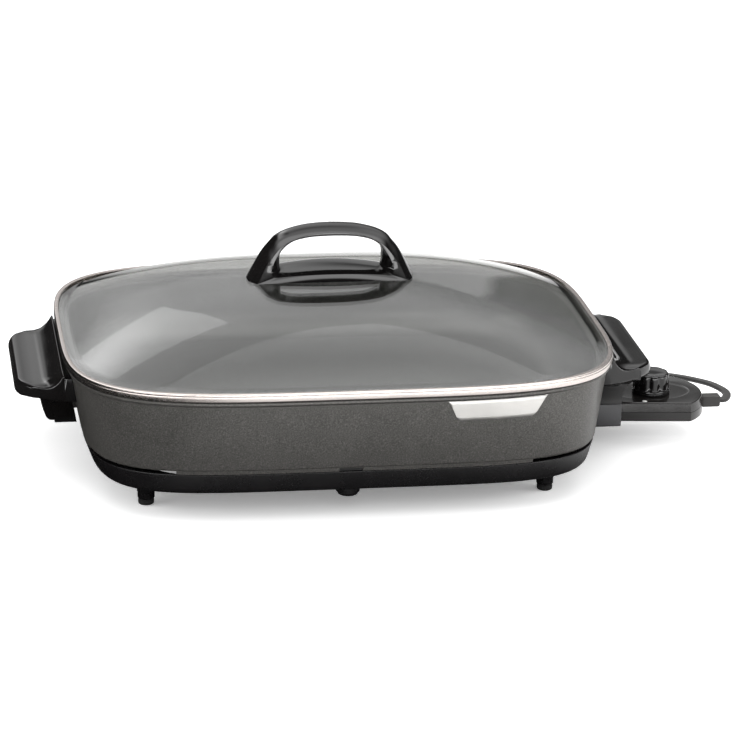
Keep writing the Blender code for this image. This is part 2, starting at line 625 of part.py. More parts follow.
def make_pan(parent):
    """The cast pan: wall, lip, inner ledge and floor, with the strip it stands on."""
    strip = STRIP_SETBACK + STRIP_THICKNESS
    lip_ring = superellipse(LIP_LENGTH / 2, LIP_DEPTH / 2, RIM_POWER)
    ledge = LEDGE_SETBACK - LIP_OVERHANG
    ledge_height = LIP_TOP - LEDGE_DROP
    wall = WALL_THICKNESS
    foot = FLOOR_TOP + INNER_FILLET
    edge = LIP_THICKNESS / 4
    rings = [
        pan_ring(UNDERSIDE, strip + edge),
        pan_ring(FOOT_HEIGHT, strip),
        flat_ring(pan_outline(FOOT_HEIGHT, strip), STRIP_BOTTOM),
        flat_ring(pan_outline(FOOT_HEIGHT, STRIP_SETBACK), STRIP_BOTTOM),
        flat_ring(pan_outline(FOOT_HEIGHT, STRIP_SETBACK), FOOT_HEIGHT - edge),
        pan_ring(FOOT_HEIGHT),
        pan_ring(WALL_TOP_HEIGHT),
        flat_ring(superellipse(LIP_LENGTH / 2 - edge, LIP_DEPTH / 2 - edge, RIM_POWER),
                  LIP_TOP - LIP_THICKNESS),
        flat_ring(lip_ring, LIP_TOP - LIP_THICKNESS + edge),
        flat_ring(lip_ring, LIP_TOP - edge),
        flat_ring(superellipse(LIP_LENGTH / 2 - edge, LIP_DEPTH / 2 - edge, RIM_POWER), LIP_TOP),
        flat_ring(pan_outline(WALL_TOP_HEIGHT, ledge), LIP_TOP),
        flat_ring(pan_outline(WALL_TOP_HEIGHT, ledge + edge), ledge_height),
        flat_ring(pan_outline(WALL_TOP_HEIGHT, ledge + LEDGE_WIDTH), ledge_height - edge),
        flat_ring(pan_outline(WALL_TOP_HEIGHT, ledge + LEDGE_WIDTH + edge),
                  ledge_height - 2 * edge),
        pan_ring(foot, wall + LEDGE_WIDTH),
        pan_ring(mix(foot, FLOOR_TOP, 0.62), wall + LEDGE_WIDTH + INNER_FILLET * 0.13),
        pan_ring(mix(foot, FLOOR_TOP, 0.90), wall + LEDGE_WIDTH + INNER_FILLET * 0.50),
        pan_ring(FLOOR_TOP, wall + LEDGE_WIDTH + INNER_FILLET),
    ]
    pan = add_object("pan", loft_mesh("pan", rings), "coated_aluminium", parent)
    low = STRIP_BOTTOM - OVERRUN
    for side_x in (-1, 1):
        for side_y in (-1, 1):
            xs = sorted((side_x * CORNER_GAP_X, side_x * RIM_LENGTH / 2))
            ys = sorted((side_y * CORNER_GAP_Y, side_y * RIM_DEPTH / 2))
            cut(pan, box_mesh("corner_gap", (xs[0], ys[0], low), (xs[1], ys[1], FOOT_HEIGHT - edge)))
    for side_y in (-1, 1):
        ys = sorted((side_y * FOOT_DEPTH / 4, side_y * RIM_DEPTH / 2))
        cut(pan, box_mesh("slot", (SLOT_OFFSET - SLOT_WIDTH / 2, ys[0], low),
                          (SLOT_OFFSET + SLOT_WIDTH / 2, ys[1], FOOT_HEIGHT - edge)))
    for side_x in (-1, 1):
        for side_y in (-1, 1):
            place = (side_x * BOSS_X, side_y * BOSS_Y)
            cut(pan, rod_mesh("boss", BOSS_RADIUS, (*place, FLANGE_TOP + GAP),
                              (*place, UNDERSIDE + FLOOR_THICKNESS / 2)), "UNION")
            cut(pan, rod_mesh("boss_bore", BOSS_BORE, (*place, FLANGE_TOP - OVERRUN),
                              (*place, UNDERSIDE), 12))
            xs = sorted((side_x * (LUG_REACH - LUG_LENGTH), side_x * LUG_REACH))
            cut(pan, box_mesh("lug", (xs[0], side_y * LUG_Y - LUG_WIDTH / 2, LUG_BOTTOM),
                              (xs[1], side_y * LUG_Y + LUG_WIDTH / 2, LUG_BOTTOM + LUG_HEIGHT)),
                "UNION")
            hole = (side_x * HANDLE_SCREW_X, side_y * LUG_Y)
            cut(pan, rod_mesh("lug_bore", BOSS_BORE, (*hole, LUG_BOTTOM - OVERRUN),
                              (*hole, HANGER_BOTTOM + HANDLE_SCREW_LENGTH), 12))
    well = (WELL_END_X - WELL_LENGTH, WELL_END_X)
    cut(pan, box_mesh("well", (well[0], -WELL_WIDTH / 2, CONTROL_AXIS - WELL_WIDTH / 3),
                      (well[1], WELL_WIDTH / 2, UNDERSIDE + FLOOR_THICKNESS / 2)), "UNION")
    cut(pan, rod_mesh("well_bore", PROBE_RADIUS + GAP, (well[0] - OVERRUN, 0, CONTROL_AXIS),
                      (well[1] + OVERRUN, 0, CONTROL_AXIS)))
    return pan


def base_outline(height, inset=0.0):
    """The outside of the base at a height, from its upper edge to its lower edge."""
    share = (BASE_TOP - height) / (BASE_TOP - BASE_BOTTOM)
    length = mix(FOOT_LENGTH / 2 - BASE_TOP_INSET, BASE_LOW_LENGTH / 2, share) - inset
    depth = mix(FOOT_DEPTH / 2 - BASE_TOP_INSET, BASE_LOW_DEPTH / 2, share) - inset
    return superellipse(length, depth, mix(FOOT_POWER, BASE_LOW_POWER, share))


def make_base(parent):
    """The black skirt under the pan, with an inward flange, four legs and two middle feet."""
    rounding = BASE_EDGE_RADIUS
    edge_shares = ((0.0, 1.0), (0.08, 0.62), (0.32, 0.27), (0.68, 0.07), (1.0, 0.0))
    rings = [flat_ring(base_outline(BASE_TOP, BASE_WALL), BASE_TOP),
             flat_ring(base_outline(BASE_TOP, GAP), BASE_TOP),
             flat_ring(base_outline(BASE_TOP), BASE_TOP - GAP)]
    for inset_share, height_share in edge_shares:
        height = BASE_BOTTOM + rounding * height_share
        rings.append(flat_ring(base_outline(height, rounding * inset_share), height))
    rings += [flat_ring(base_outline(BASE_BOTTOM, BASE_FLANGE), BASE_BOTTOM),
              flat_ring(base_outline(BASE_BOTTOM, BASE_FLANGE), FLANGE_TOP),
              flat_ring(base_outline(FLANGE_TOP, rounding + BASE_WALL), FLANGE_TOP),
              flat_ring(base_outline(FLANGE_TOP + rounding, BASE_WALL * 1.2), FLANGE_TOP + rounding)]
    base = add_object("base_skirt", loft_mesh("base_skirt", rings, True), "base_plastic", parent)
    cut(base, box_mesh("window", (WELL_END_X - BASE_WALL, -WINDOW_WIDTH / 2, FLANGE_TOP),
                       (FOOT_LENGTH / 2 + OVERRUN, WINDOW_WIDTH / 2, BASE_TOP + OVERRUN)))
    middle = (BASE_BOTTOM + FLANGE_TOP) / 2
    for side_x in (-1, 1):
        for side_y in (-1, 1):
            leg = [superellipse(LEG_RADIUS - LEG_EDGE, LEG_RADIUS - LEG_EDGE, 2, ROUND_POINTS),
                   superellipse(LEG_RADIUS, LEG_RADIUS, 2, ROUND_POINTS),
                   superellipse(LEG_RADIUS, LEG_RADIUS, 2, ROUND_POINTS)]
            heights = (PAD_HEIGHT + GAP, PAD_HEIGHT + GAP + LEG_EDGE, middle)
            rings = [[(side_x * LEG_X + x, side_y * LEG_Y + y, height) for x, y in ring]
                     for ring, height in zip(leg, heights)]
            cut(base, loft_mesh("leg", rings), "UNION")
            foot = (side_x * LEG_X, side_y * LEG_Y)
            cut(base, rod_mesh("leg_socket", PAD_STEM_RADIUS + GAP, (*foot, 0),
                               (*foot, PAD_HEIGHT + PAD_STEM + GAP)))
            hole = (side_x * BOSS_X, side_y * BOSS_Y)
            cut(base, rod_mesh("base_hole", SCREW_RADIUS + GAP, (*hole, BASE_BOTTOM - OVERRUN),
                               (*hole, FLANGE_TOP + OVERRUN), 12))
    for side_y in (-1, 1):
        rings = []
        for radius_share, height_share in ((0.45, 0.0), (0.78, 0.10), (0.95, 0.32), (1.0, 1.0)):
            ring = superellipse(MIDFOOT_RADIUS * radius_share, MIDFOOT_RADIUS * radius_share, 2,
                                ROUND_POINTS)
            height = mix(MIDFOOT_BOTTOM, middle, height_share)
            rings.append([(SLOT_OFFSET + x, side_y * MIDFOOT_Y + y, height) for x, y in ring])
        cut(base, loft_mesh("middle_foot", rings), "UNION")
    return base


def make_foot_pads(parent):
    """A rubber pad with a stem in the end of each leg."""
    profile = [(0, PAD_HEIGHT + PAD_STEM), (PAD_STEM_RADIUS, PAD_HEIGHT + PAD_STEM),
               (PAD_STEM_RADIUS, PAD_HEIGHT), (PAD_RADIUS, PAD_HEIGHT), (PAD_RADIUS, PAD_EDGE),
               (PAD_RADIUS - PAD_EDGE, 0), (0, 0)]
    for end, side_x in (("left", -1), ("right", 1)):
        for face, side_y in (("front", -1), ("back", 1)):
            turned(f"foot_pad_{face}_{end}", profile, "grey_rubber", parent,
                   (side_x * LEG_X, side_y * LEG_Y, 0))


def element_points():
    """The bent sheath, from the front terminal round under the floor to the back terminal."""
    height = UNDERSIDE - GAP - ELEMENT_RADIUS
    half = TERMINAL_SPACING / 2
    start_x = TERMINAL_START_X - GAP
    corners = [(start_x, -half, CONTROL_AXIS), (start_x - ELEMENT_CORNER / 5, -half, CONTROL_AXIS),
               (start_x - ELEMENT_CORNER / 2, -half - ELEMENT_RADIUS, height)]
    for index in range(ELEMENT_POINTS):
        angle = -FULL_TURN * (index + 0.5) / ELEMENT_POINTS
        x, y = superellipse_point(ELEMENT_HALF_LENGTH, ELEMENT_HALF_DEPTH, ELEMENT_POWER, angle)
        if x < ELEMENT_HALF_LENGTH * 0.99:
            corners.append((x, y, height))
    back = [(x, -y, z) for x, y, z in reversed(corners[:3])]
    return corners + back


def smooth_line(knots, parts):
    """A smooth curve through hand-placed points, with so many parts between two of them."""
    knots = [Vector(knot) for knot in knots]
    dense = []
    for index in range(len(knots) - 1):
        before = knots[index - 1] if index else 2 * knots[0] - knots[1]
        after = knots[index + 2] if index + 2 < len(knots) else 2 * knots[-1] - knots[-2]
        start, end = knots[index], knots[index + 1]
        for part in range(parts):
            t = part / parts
            dense.append(0.5 * (2 * start + (end - before) * t
                                + (2 * before - 5 * start + 4 * end - after) * t * t
                                + (3 * start - before - 3 * end + after) * t ** 3))
    dense.append(knots[-1])
    return dense


def smooth_route(points, step):
    """Points a steady step apart on a smooth curve through hand-placed ones."""
    dense = smooth_line(points, 12)
    length = sum((b - a).length for a, b in zip(dense, dense[1:]))
    count = max(2, round(length / step))
    route, travelled, target = [dense[0]], 0.0, length / count
    for start, end in zip(dense, dense[1:]):
        span = (end - start).length
        while travelled + span >= target and len(route) < count:
            route.append(start.lerp(end, (target - travelled) / span))
            target += length / count
        travelled += span
    route.append(dense[-1])
    return route, length


def tube(name, points, radius, material, parent, resolution=2):
    """A round tube with flat ends along a line of points."""
    curve = bpy.data.curves.new(name, "CURVE")
    curve.dimensions = "3D"
    curve.bevel_depth = radius
    curve.bevel_resolution = resolution
    curve.use_fill_caps = True
    spline = curve.splines.new("POLY")
    spline.points.add(len(points) - 1)
    for slot, point in zip(spline.points, points):
        slot.co = (*point, 1)
    item = bpy.data.objects.new(name, curve)
    item.parent = parent
    curve.materials.append(MATERIALS[material])
    PARTS.objects.link(item)
    return item


def make_element(parent):
    """The sheathed element under the floor, its two terminal pins and their ceramic block."""
    tube("heating_element", element_points(), ELEMENT_RADIUS, "element_sheath", parent, 1)
    half = TERMINAL_SPACING / 2
    for face, side in (("front", -1), ("back", 1)):
        start = (TERMINAL_START_X, side * half, CONTROL_AXIS)
        end = (TERMINAL_END_X, side * half, CONTROL_AXIS)
        pin = add_object(f"terminal_pin_{face}", rod_mesh("pin", TERMINAL_RADIUS, start, end),
                         "zinc_steel", parent)
        soften(pin, TERMINAL_RADIUS / 4, 1, 60)
    low = (BLOCK_X, -BLOCK_WIDTH / 2, FLANGE_TOP + GAP)
    high = (BLOCK_X + BLOCK_THICKNESS, BLOCK_WIDTH / 2, FLANGE_TOP + GAP + BLOCK_HEIGHT)
    block = add_object("terminal_block", box_mesh("terminal_block", low, high), "white_ceramic",
                       parent)
    for side, radius in ((-1, TERMINAL_RADIUS), (0, PROBE_RADIUS), (1, TERMINAL_RADIUS)):
        cut(block, rod_mesh("hole", radius + GAP, (BLOCK_X - OVERRUN, side * half, CONTROL_AXIS),
                            (BLOCK_X + BLOCK_THICKNESS + OVERRUN, side * half, CONTROL_AXIS)))


def make_handle(end, side, parent):
    """A side handle: a dished grip with a ridge by the rim, and the block that hangs below it."""
    def turn(outline):
        return [(side * first, second) for first, second in outline]

    def section(shares, low, high):
        return turn([(mix(GRIP_ROOT, GRIP_REACH, x_share), mix(low, high, z_share))
                     for x_share, z_share in shares])

    root = GRIP_ROOT - GRIP_ROOT_DEPTH
    top, foot = GRIP_SECTION_SHARES[0][1], GRIP_SECTION_SHARES[-1][1]
    inner = turn([(root, mix(GRIP_LOW, GRIP_HIGH, foot)), (root, mix(GRIP_LOW, GRIP_HIGH, top))])
    blank = section(GRIP_SECTION_SHARES, GRIP_LOW, GRIP_HIGH) + inner
    handle = add_object(f"{end}_handle",
                        prism_mesh("handle", blank, "y", -GRIP_HALF_ROOT, GRIP_HALF_ROOT),
                        "black_phenolic", parent)
    bend_x = mix(GRIP_ROOT, GRIP_REACH, 0.45)
    bend_y = mix(GRIP_HALF_ROOT, GRIP_HALF_OUTER, 0.40)
    half_plan = [(root - OVERRUN, GRIP_HALF_ROOT, 0), (GRIP_ROOT, GRIP_HALF_ROOT - GAP, 0),
                 (bend_x, bend_y, GRIP_CORNER), (GRIP_REACH - GAP, GRIP_HALF_OUTER, GRIP_CORNER)]
    plan = half_plan + [(x, -y, radius) for x, y, radius in reversed(half_plan)]
    cut(handle, prism_mesh("plan", turn(rounded(plan)), "z", GRIP_LOW - OVERRUN,
                           GRIP_HIGH + OVERRUN), "INTERSECT")
    reach = HANGER_REACH if side < 0 else CONTROL_HANGER_REACH
    rings = []
    for rise, outwards, flare in HANGER_LEVEL_SHARES:
        height = mix(HANGER_BOTTOM, GRIP_LOW, rise)
        inner_x = mix(HANGER_ROOT, WALL_TOP_LENGTH / 2 - WALL_THICKNESS / 2, rise)
        outer_x = mix(reach, max(bend_x, reach + GRIP_CORNER / 2), outwards)
        half = mix(HANGER_HALF, HANGER_HALF_TOP, flare)
        corners = [(inner_x, -half), (outer_x, -half), (outer_x, half), (inner_x, half)]
        rings.append(flat_ring(turn(corners), height))
    cut(handle, loft_mesh("hanger", rings), "UNION")
    if side < 0:
        apron = section(APRON_SECTION_SHARES, HANGER_BOTTOM, GRIP_LOW)
        cut(handle, prism_mesh("apron", apron, "y", -APRON_HALF, APRON_HALF), "UNION")
    soften(handle, GRIP_BEVEL, 1, 38)
    low = HANGER_BOTTOM - OVERRUN
    wall = [flat_ring(pan_outline(height, -GAP), height) for height in (low, WALL_TOP_HEIGHT)]
    lip = pan_outline(WALL_TOP_HEIGHT, -LIP_OVERHANG - GAP)
    wall += [flat_ring(lip, LIP_TOP - LIP_THICKNESS), flat_ring(lip, BAND_TOP)]
    cut(handle, loft_mesh("wall", wall))
    for side_y in (-1, 1):
        lug = sorted((side * (GRIP_ROOT - GRIP_ROOT_DEPTH), side * (LUG_REACH + GAP)))
        cut(handle, box_mesh("lug_pocket",
                             (lug[0], side_y * LUG_Y - LUG_WIDTH / 2 - GAP, LUG_BOTTOM - GAP),
                             (lug[1], side_y * LUG_Y + LUG_WIDTH / 2 + GAP,
                              LUG_BOTTOM + LUG_HEIGHT + GAP)))
        hole = (side * HANDLE_SCREW_X, side_y * LUG_Y)
        cut(handle, rod_mesh("screw_hole", SCREW_RADIUS + GAP, (*hole, low),
                             (*hole, HANGER_BOTTOM + HANDLE_SCREW_LENGTH), 12))


def screw_profile(length):
    """A pan-head screw, with its head's seat at height zero and its shank above."""
    head, shank = SCREW_HEAD_RADIUS, SCREW_RADIUS
    return [(0, length), (shank * 0.5, length), (shank, length - shank), (shank, 0), (head, 0),
            (head, -SCREW_HEAD_HEIGHT * 0.55), (head * 0.7, -SCREW_HEAD_HEIGHT),
            (0, -SCREW_HEAD_HEIGHT)]


def make_root_screws(parent):
    """The screws that hold the handles to their lugs and the base to the pan's bosses."""
    for end, side_x in (("left", -1), ("right", 1)):
        seat = HANGER_BOTTOM if side_x < 0 else HANGER_BOTTOM - GUARD_WALL - GAP
        for face, side_y in (("front", -1), ("back", 1)):
            turned(f"handle_screw_{face}_{end}", screw_profile(HANDLE_SCREW_LENGTH), "zinc_steel",
                   parent, (side_x * HANDLE_SCREW_X, side_y * LUG_Y, seat - GAP), 12)
            turned(f"base_screw_{face}_{end}", screw_profile(BASE_SCREW_LENGTH), "zinc_steel",
                   parent, (side_x * BOSS_X, side_y * BOSS_Y, BASE_BOTTOM - GAP), 12)


def make_guard(parent):
    """The rectangular sleeve under the right handle that the heat control enters."""
    top = HANGER_BOTTOM - GAP
    outer = rounded([(-GUARD_HALF, GUARD_BOTTOM, GUARD_WALL), (GUARD_HALF, GUARD_BOTTOM, GUARD_WALL),
                     (GUARD_HALF, top, 0), (-GUARD_HALF, top, 0)], 3)
    guard = add_object("terminal_guard",
                       prism_mesh("terminal_guard", outer, "x", GUARD_ROOT, GUARD_REACH),
                       "black_phenolic", parent)
    inner = rounded([(-GUARD_HALF + GUARD_WALL, GUARD_BOTTOM + GUARD_WALL, GUARD_WALL / 2),
                     (GUARD_HALF - GUARD_WALL, GUARD_BOTTOM + GUARD_WALL, GUARD_WALL / 2),
                     (GUARD_HALF - GUARD_WALL, top - GUARD_WALL, 0),
                     (-GUARD_HALF + GUARD_WALL, top - GUARD_WALL, 0)], 3)
    cut(guard, prism_mesh("guard_bore", inner, "x", GUARD_ROOT - OVERRUN, GUARD_REACH + OVERRUN))
    for side_y in (-1, 1):
        hole = (HANDLE_SCREW_X, side_y * LUG_Y)
        cut(guard, rod_mesh("screw_hole", SCREW_RADIUS + GAP, (*hole, top - GUARD_WALL - OVERRUN),
                            (*hole, top + OVERRUN), 12))


def wall_point(x, height, stand_off):
    """A point on the front wall at a length x, a stand-off in front of it."""
    share = (height - FOOT_HEIGHT) / (WALL_TOP_HEIGHT - FOOT_HEIGHT)
    half_length = mix(FOOT_LENGTH, WALL_TOP_LENGTH, share) / 2
    half_depth = mix(FOOT_DEPTH, WALL_TOP_DEPTH, share) / 2
    power = mix(FOOT_POWER, RIM_POWER, share)
    depth = half_depth * (1 - (abs(x) / half_length) ** power) ** (1 / power)
    slope = (half_depth / half_length) * (abs(x) / half_length) ** (power - 1)
    lean = math.hypot(slope, 1)
    return (x + stand_off * slope / lean, -depth - stand_off / lean, height)


def make_badge(parent):
    """The bare plate that follows the front wall: wide at the top, with round lower corners."""
    shape = bmesh.new()
    grid = []
    for column in range(BADGE_COLUMNS + 1):
        share = column / BADGE_COLUMNS
        top_x = mix(BADGE_LEFT_X, BADGE_RIGHT_X, share)
        foot_x = mix(BADGE_LEFT_X + BADGE_SLANT_LEFT, BADGE_RIGHT_X - BADGE_SLANT_RIGHT, share)
        width = BADGE_RIGHT_X - BADGE_LEFT_X
        corner = max(0, 1 - min(share, 1 - share) * width / BADGE_CORNER)
        foot = BADGE_BOTTOM + BADGE_CORNER * (1 - math.sqrt(1 - corner ** 2)) * 0.8
        rows = []
        for level in range(3):
            x = mix(foot_x, top_x, level / 2)
            height = mix(foot, BADGE_TOP, level / 2)
            rows.append([shape.verts.new(wall_point(x, height, stand))
                         for stand in (GAP, GAP + BADGE_THICKNESS)])
        grid.append(rows)
    for before, after in zip(grid, grid[1:]):
        for level in range(2):
            for layer in (0, 1):
                shape.faces.new((before[level][layer], after[level][layer],
                                 after[level + 1][layer], before[level + 1][layer]))
        for level in (0, 2):
            shape.faces.new((before[level][0], after[level][0], after[level][1],
                             before[level][1]))
    for rows in (grid[0], grid[-1]):
        for level in range(2):
            shape.faces.new((rows[level][0], rows[level][1], rows[level + 1][1],
                             rows[level + 1][0]))
    add_object("badge_plate", finish_mesh(shape, "badge_plate"), "badge_metal", parent)


def dome_height(x, y):
    """Height of the glass's upper face near its middle, where the outline is nearly round."""
    share = (abs(2 * x / DOME_LENGTH) ** DOME_POWER + abs(2 * y / DOME_DEPTH) ** DOME_POWER)
    return DOME_TOP - DOME_RISE * share ** (DOME_CURVE / DOME_POWER)


def dome_rings(drop, shares):
    """Rings of the dome from near its top to its foot, all lowered by a drop."""
    rings = []
    for share in shares:
        power = mix(DOME_POWER, RIM_POWER, share)
        outline = superellipse(DOME_LENGTH / 2 * share, DOME_DEPTH / 2 * share, power)
        rings.append(flat_ring(outline, DOME_TOP - DOME_RISE * share ** DOME_CURVE - drop))
    return rings


DOME_SHARES = (0.07, 0.26, 0.45, 0.63, 0.79, 0.91, 1.0)


def screw_axis(side):
    """Place and tilt of a lid-handle screw, square to the glass."""
    x = side * LID_SCREW_X
    share = 2 * LID_SCREW_X / DOME_LENGTH
    slope = DOME_CURVE * DOME_RISE * share ** DOME_CURVE / LID_SCREW_X
    return Vector((x, 0, dome_height(x, 0))), side * math.atan(slope)


def tilted_rod(name, side, radius, low, high, points=16):
    """A cutting cylinder on a lid-handle screw's axis, from low to high above the glass."""
    place, tilt = screw_axis(side)
    direction = Vector((math.sin(tilt), 0, math.cos(tilt)))
    return rod_mesh(name, radius, place + direction * low, place + direction * high, points)


def make_glass(parent):
    """The domed glass with its flat edge and the two holes for the handle screws."""
    edge = GLASS_THICKNESS / 6
    half = (GLASS_LENGTH / 2, GLASS_DEPTH / 2)
    low = GLASS_TOP - GLASS_THICKNESS
    rings = dome_rings(0.0, DOME_SHARES)
    for inset, height in ((edge, GLASS_TOP), (0.0, GLASS_TOP - edge), (0.0, low + edge),
                          (edge, low)):
        rings.append(flat_ring(superellipse(half[0] - inset, half[1] - inset, RIM_POWER), height))
    rings += list(reversed(dome_rings(GLASS_THICKNESS, DOME_SHARES)))
    glass = add_object("lid_glass", loft_mesh("lid_glass", rings), "clear_glass", parent)
    for side in (-1, 1):
        cut(glass, tilted_rod("glass_hole", side, LID_SCREW_RADIUS + 3 * GAP,
                              -GLASS_THICKNESS - OVERRUN, OVERRUN))


def make_band(parent):
    """The folded steel band round the glass, with a bead along its top."""
    sheet, flange, bead = BAND_SHEET, BAND_FLANGE, BAND_BEAD
    section = [(bead, 0.0), (0.0, bead), (0.0, BAND_HEIGHT - 5 * bead),
               (bead, BAND_HEIGHT - 4 * bead), (0.0, BAND_HEIGHT - 3 * bead),
               (0.0, BAND_HEIGHT - bead), (bead, BAND_HEIGHT), (flange, BAND_HEIGHT),
               (flange, BAND_HEIGHT - sheet), (sheet, BAND_HEIGHT - sheet), (sheet, sheet),
               (flange, sheet), (flange, 0.0)]
    rings = []
    for inset, rise in section:
        outline = superellipse(RIM_LENGTH / 2 - inset, RIM_DEPTH / 2 - inset, RIM_POWER)
        rings.append(flat_ring(outline, BAND_BOTTOM + rise))
    add_object("lid_band", loft_mesh("lid_band", rings, True), "polished_steel", parent)


def arch_loop(shares, foot):
    """Half a loop of the lid handle and its mirror image, from the right foot over the top."""
    right = [(LID_HANDLE_HALF * x, foot + LID_HANDLE_HEIGHT * z)
             for x, z in smooth_line(shares, 2)]
    return right + [(-x, z) for x, z in reversed(right[:-1])]


def arch_depth(height, foot):
    """From the middle of the lid handle to its face, at a height."""
    rise = min(1, max(0, (height - foot) / LID_HANDLE_HEIGHT))
    return mix(LID_HANDLE_DEPTH, LID_HANDLE_TOP_DEPTH, rise)


def outer_ring(share, foot):
    """Across the handle at a share of its depth: over the crown, then along its bowed foot."""
    ring = []
    for (x, z), (face_x, face_z) in zip(arch_loop(ARCH_CROWN_SHARES, foot),
                                        arch_loop(ARCH_FACE_SHARES, foot)):
        x, z = mix(x, face_x, share ** 2), mix(z, face_z, share ** 2)
        ring.append((x, share * arch_depth(z, foot), z))
    last, first = ring[-1][0], ring[0][0]
    for step in range(ARCH_FLOOR_STEPS + 1):
        x = mix(last, first, step / ARCH_FLOOR_STEPS)
        y = share * (LID_HANDLE_DEPTH + LID_HANDLE_BOW * (1 - (x / first) ** 2))
        ring.append((x, y, dome_height(x, y) - LID_HANDLE_SINK))
    return ring


def inner_ring(share, foot):
    """Round the handle's opening at a share of its depth: under the top, then along the bar."""
    ring = []
    blend = abs(share) ** 3
    for (x, z), (face_x, face_z) in zip(arch_loop(ARCH_THROAT_SHARES, foot),
                                        arch_loop(ARCH_MOUTH_SHARES, foot)):
        x, z = mix(x, face_x, blend), mix(z, face_z, blend)
        ring.append((x, share * arch_depth(z, foot), z))
    last, first = ring[-1], ring[0]
    for step in range(ARCH_FLOOR_STEPS + 1):
        x = mix(last[0], first[0], (step + 1) / (ARCH_FLOOR_STEPS + 2))
        z = last[2] + LID_HANDLE_HEIGHT * ARCH_FLOOR_RISE_SHARE * (1 - (x / first[0]) ** 2)
        ring.append((x, share * arch_depth(z, foot), z))
    return ring


def make_lid_handle(parent):
    """The arched handle, crowned from front to back, and cut to the dome it stands on."""
    foot = dome_height(LID_HANDLE_HALF, 0)
    rings = [outer_ring(share, foot) for share in ARCH_DEPTH_SHARES]
    rings += [inner_ring(share, foot) for share in reversed(ARCH_DEPTH_SHARES)]
    handle = add_object("lid_handle", loft_mesh("lid_handle", rings, True), "black_phenolic",
                        parent)
    soften(handle, LID_HANDLE_BEVEL, 1, 42)
    rings = dome_rings(-GAP, DOME_SHARES[:-2])
    floor = rings[-1][0][2] - OVERRUN
    rings.append([(x, y, floor) for x, y, _ in rings[-1]])
    cut(handle, loft_mesh("dome", rings))
    for side in (-1, 1):
        cut(handle, tilted_rod("handle_bore", side, LID_SCREW_RADIUS + GAP, -OVERRUN,
                               LID_SCREW_LENGTH - GLASS_THICKNESS))


def make_lid_screws(parent):
    """The two screws that come up through the glass, each with a silicone washer."""
    seat = -GLASS_THICKNESS - GAP
    for end, side in (("left", -1), ("right", 1)):
        place, tilt = screw_axis(side)
        under = seat - WASHER_THICKNESS - GAP
        shank, head = LID_SCREW_RADIUS, LID_SCREW_HEAD
        top = under + LID_SCREW_LENGTH
        profile = [(0, top), (shank * 0.5, top), (shank, top - shank), (shank, under), (head, under),
                   (head, under - LID_SCREW_HEAD_HEIGHT * 0.5),
                   (head * 0.7, under - LID_SCREW_HEAD_HEIGHT), (0, under - LID_SCREW_HEAD_HEIGHT)]
        screw = turned(f"lid_screw_{end}", profile, "zinc_steel", parent, place, 16)
        screw.rotation_euler = (0, tilt, 0)
        bore, rim = LID_SCREW_RADIUS + GAP, WASHER_RADIUS
        ring = [(bore, seat), (rim - GAP, seat), (rim, seat - GAP), (rim, seat - WASHER_THICKNESS),
                (bore, seat - WASHER_THICKNESS)]
        washer = turned(f"lid_washer_{end}", ring, "grey_rubber", parent, place, 20, True)
        washer.rotation_euler = (0, tilt, 0)


def control_outline(inset=0.0):
    """The heat control seen from above: tapered sides and an arc about the knob's axis."""
    radius = CONTROL_END_RADIUS - inset
    wide = CONTROL_WIDTH / 2 - inset
    narrow = CONTROL_ROOT_WIDTH / 2 - inset
    root = CONTROL_ROOT_X - KNOB_X + inset
    reach = math.asin(wide / radius)
    arc = [(radius * math.cos(mix(-reach, reach, step / 16)),
            radius * math.sin(mix(-reach, reach, step / 16))) for step in range(17)]
    return [(root, -narrow)] + arc + [(root, narrow)]


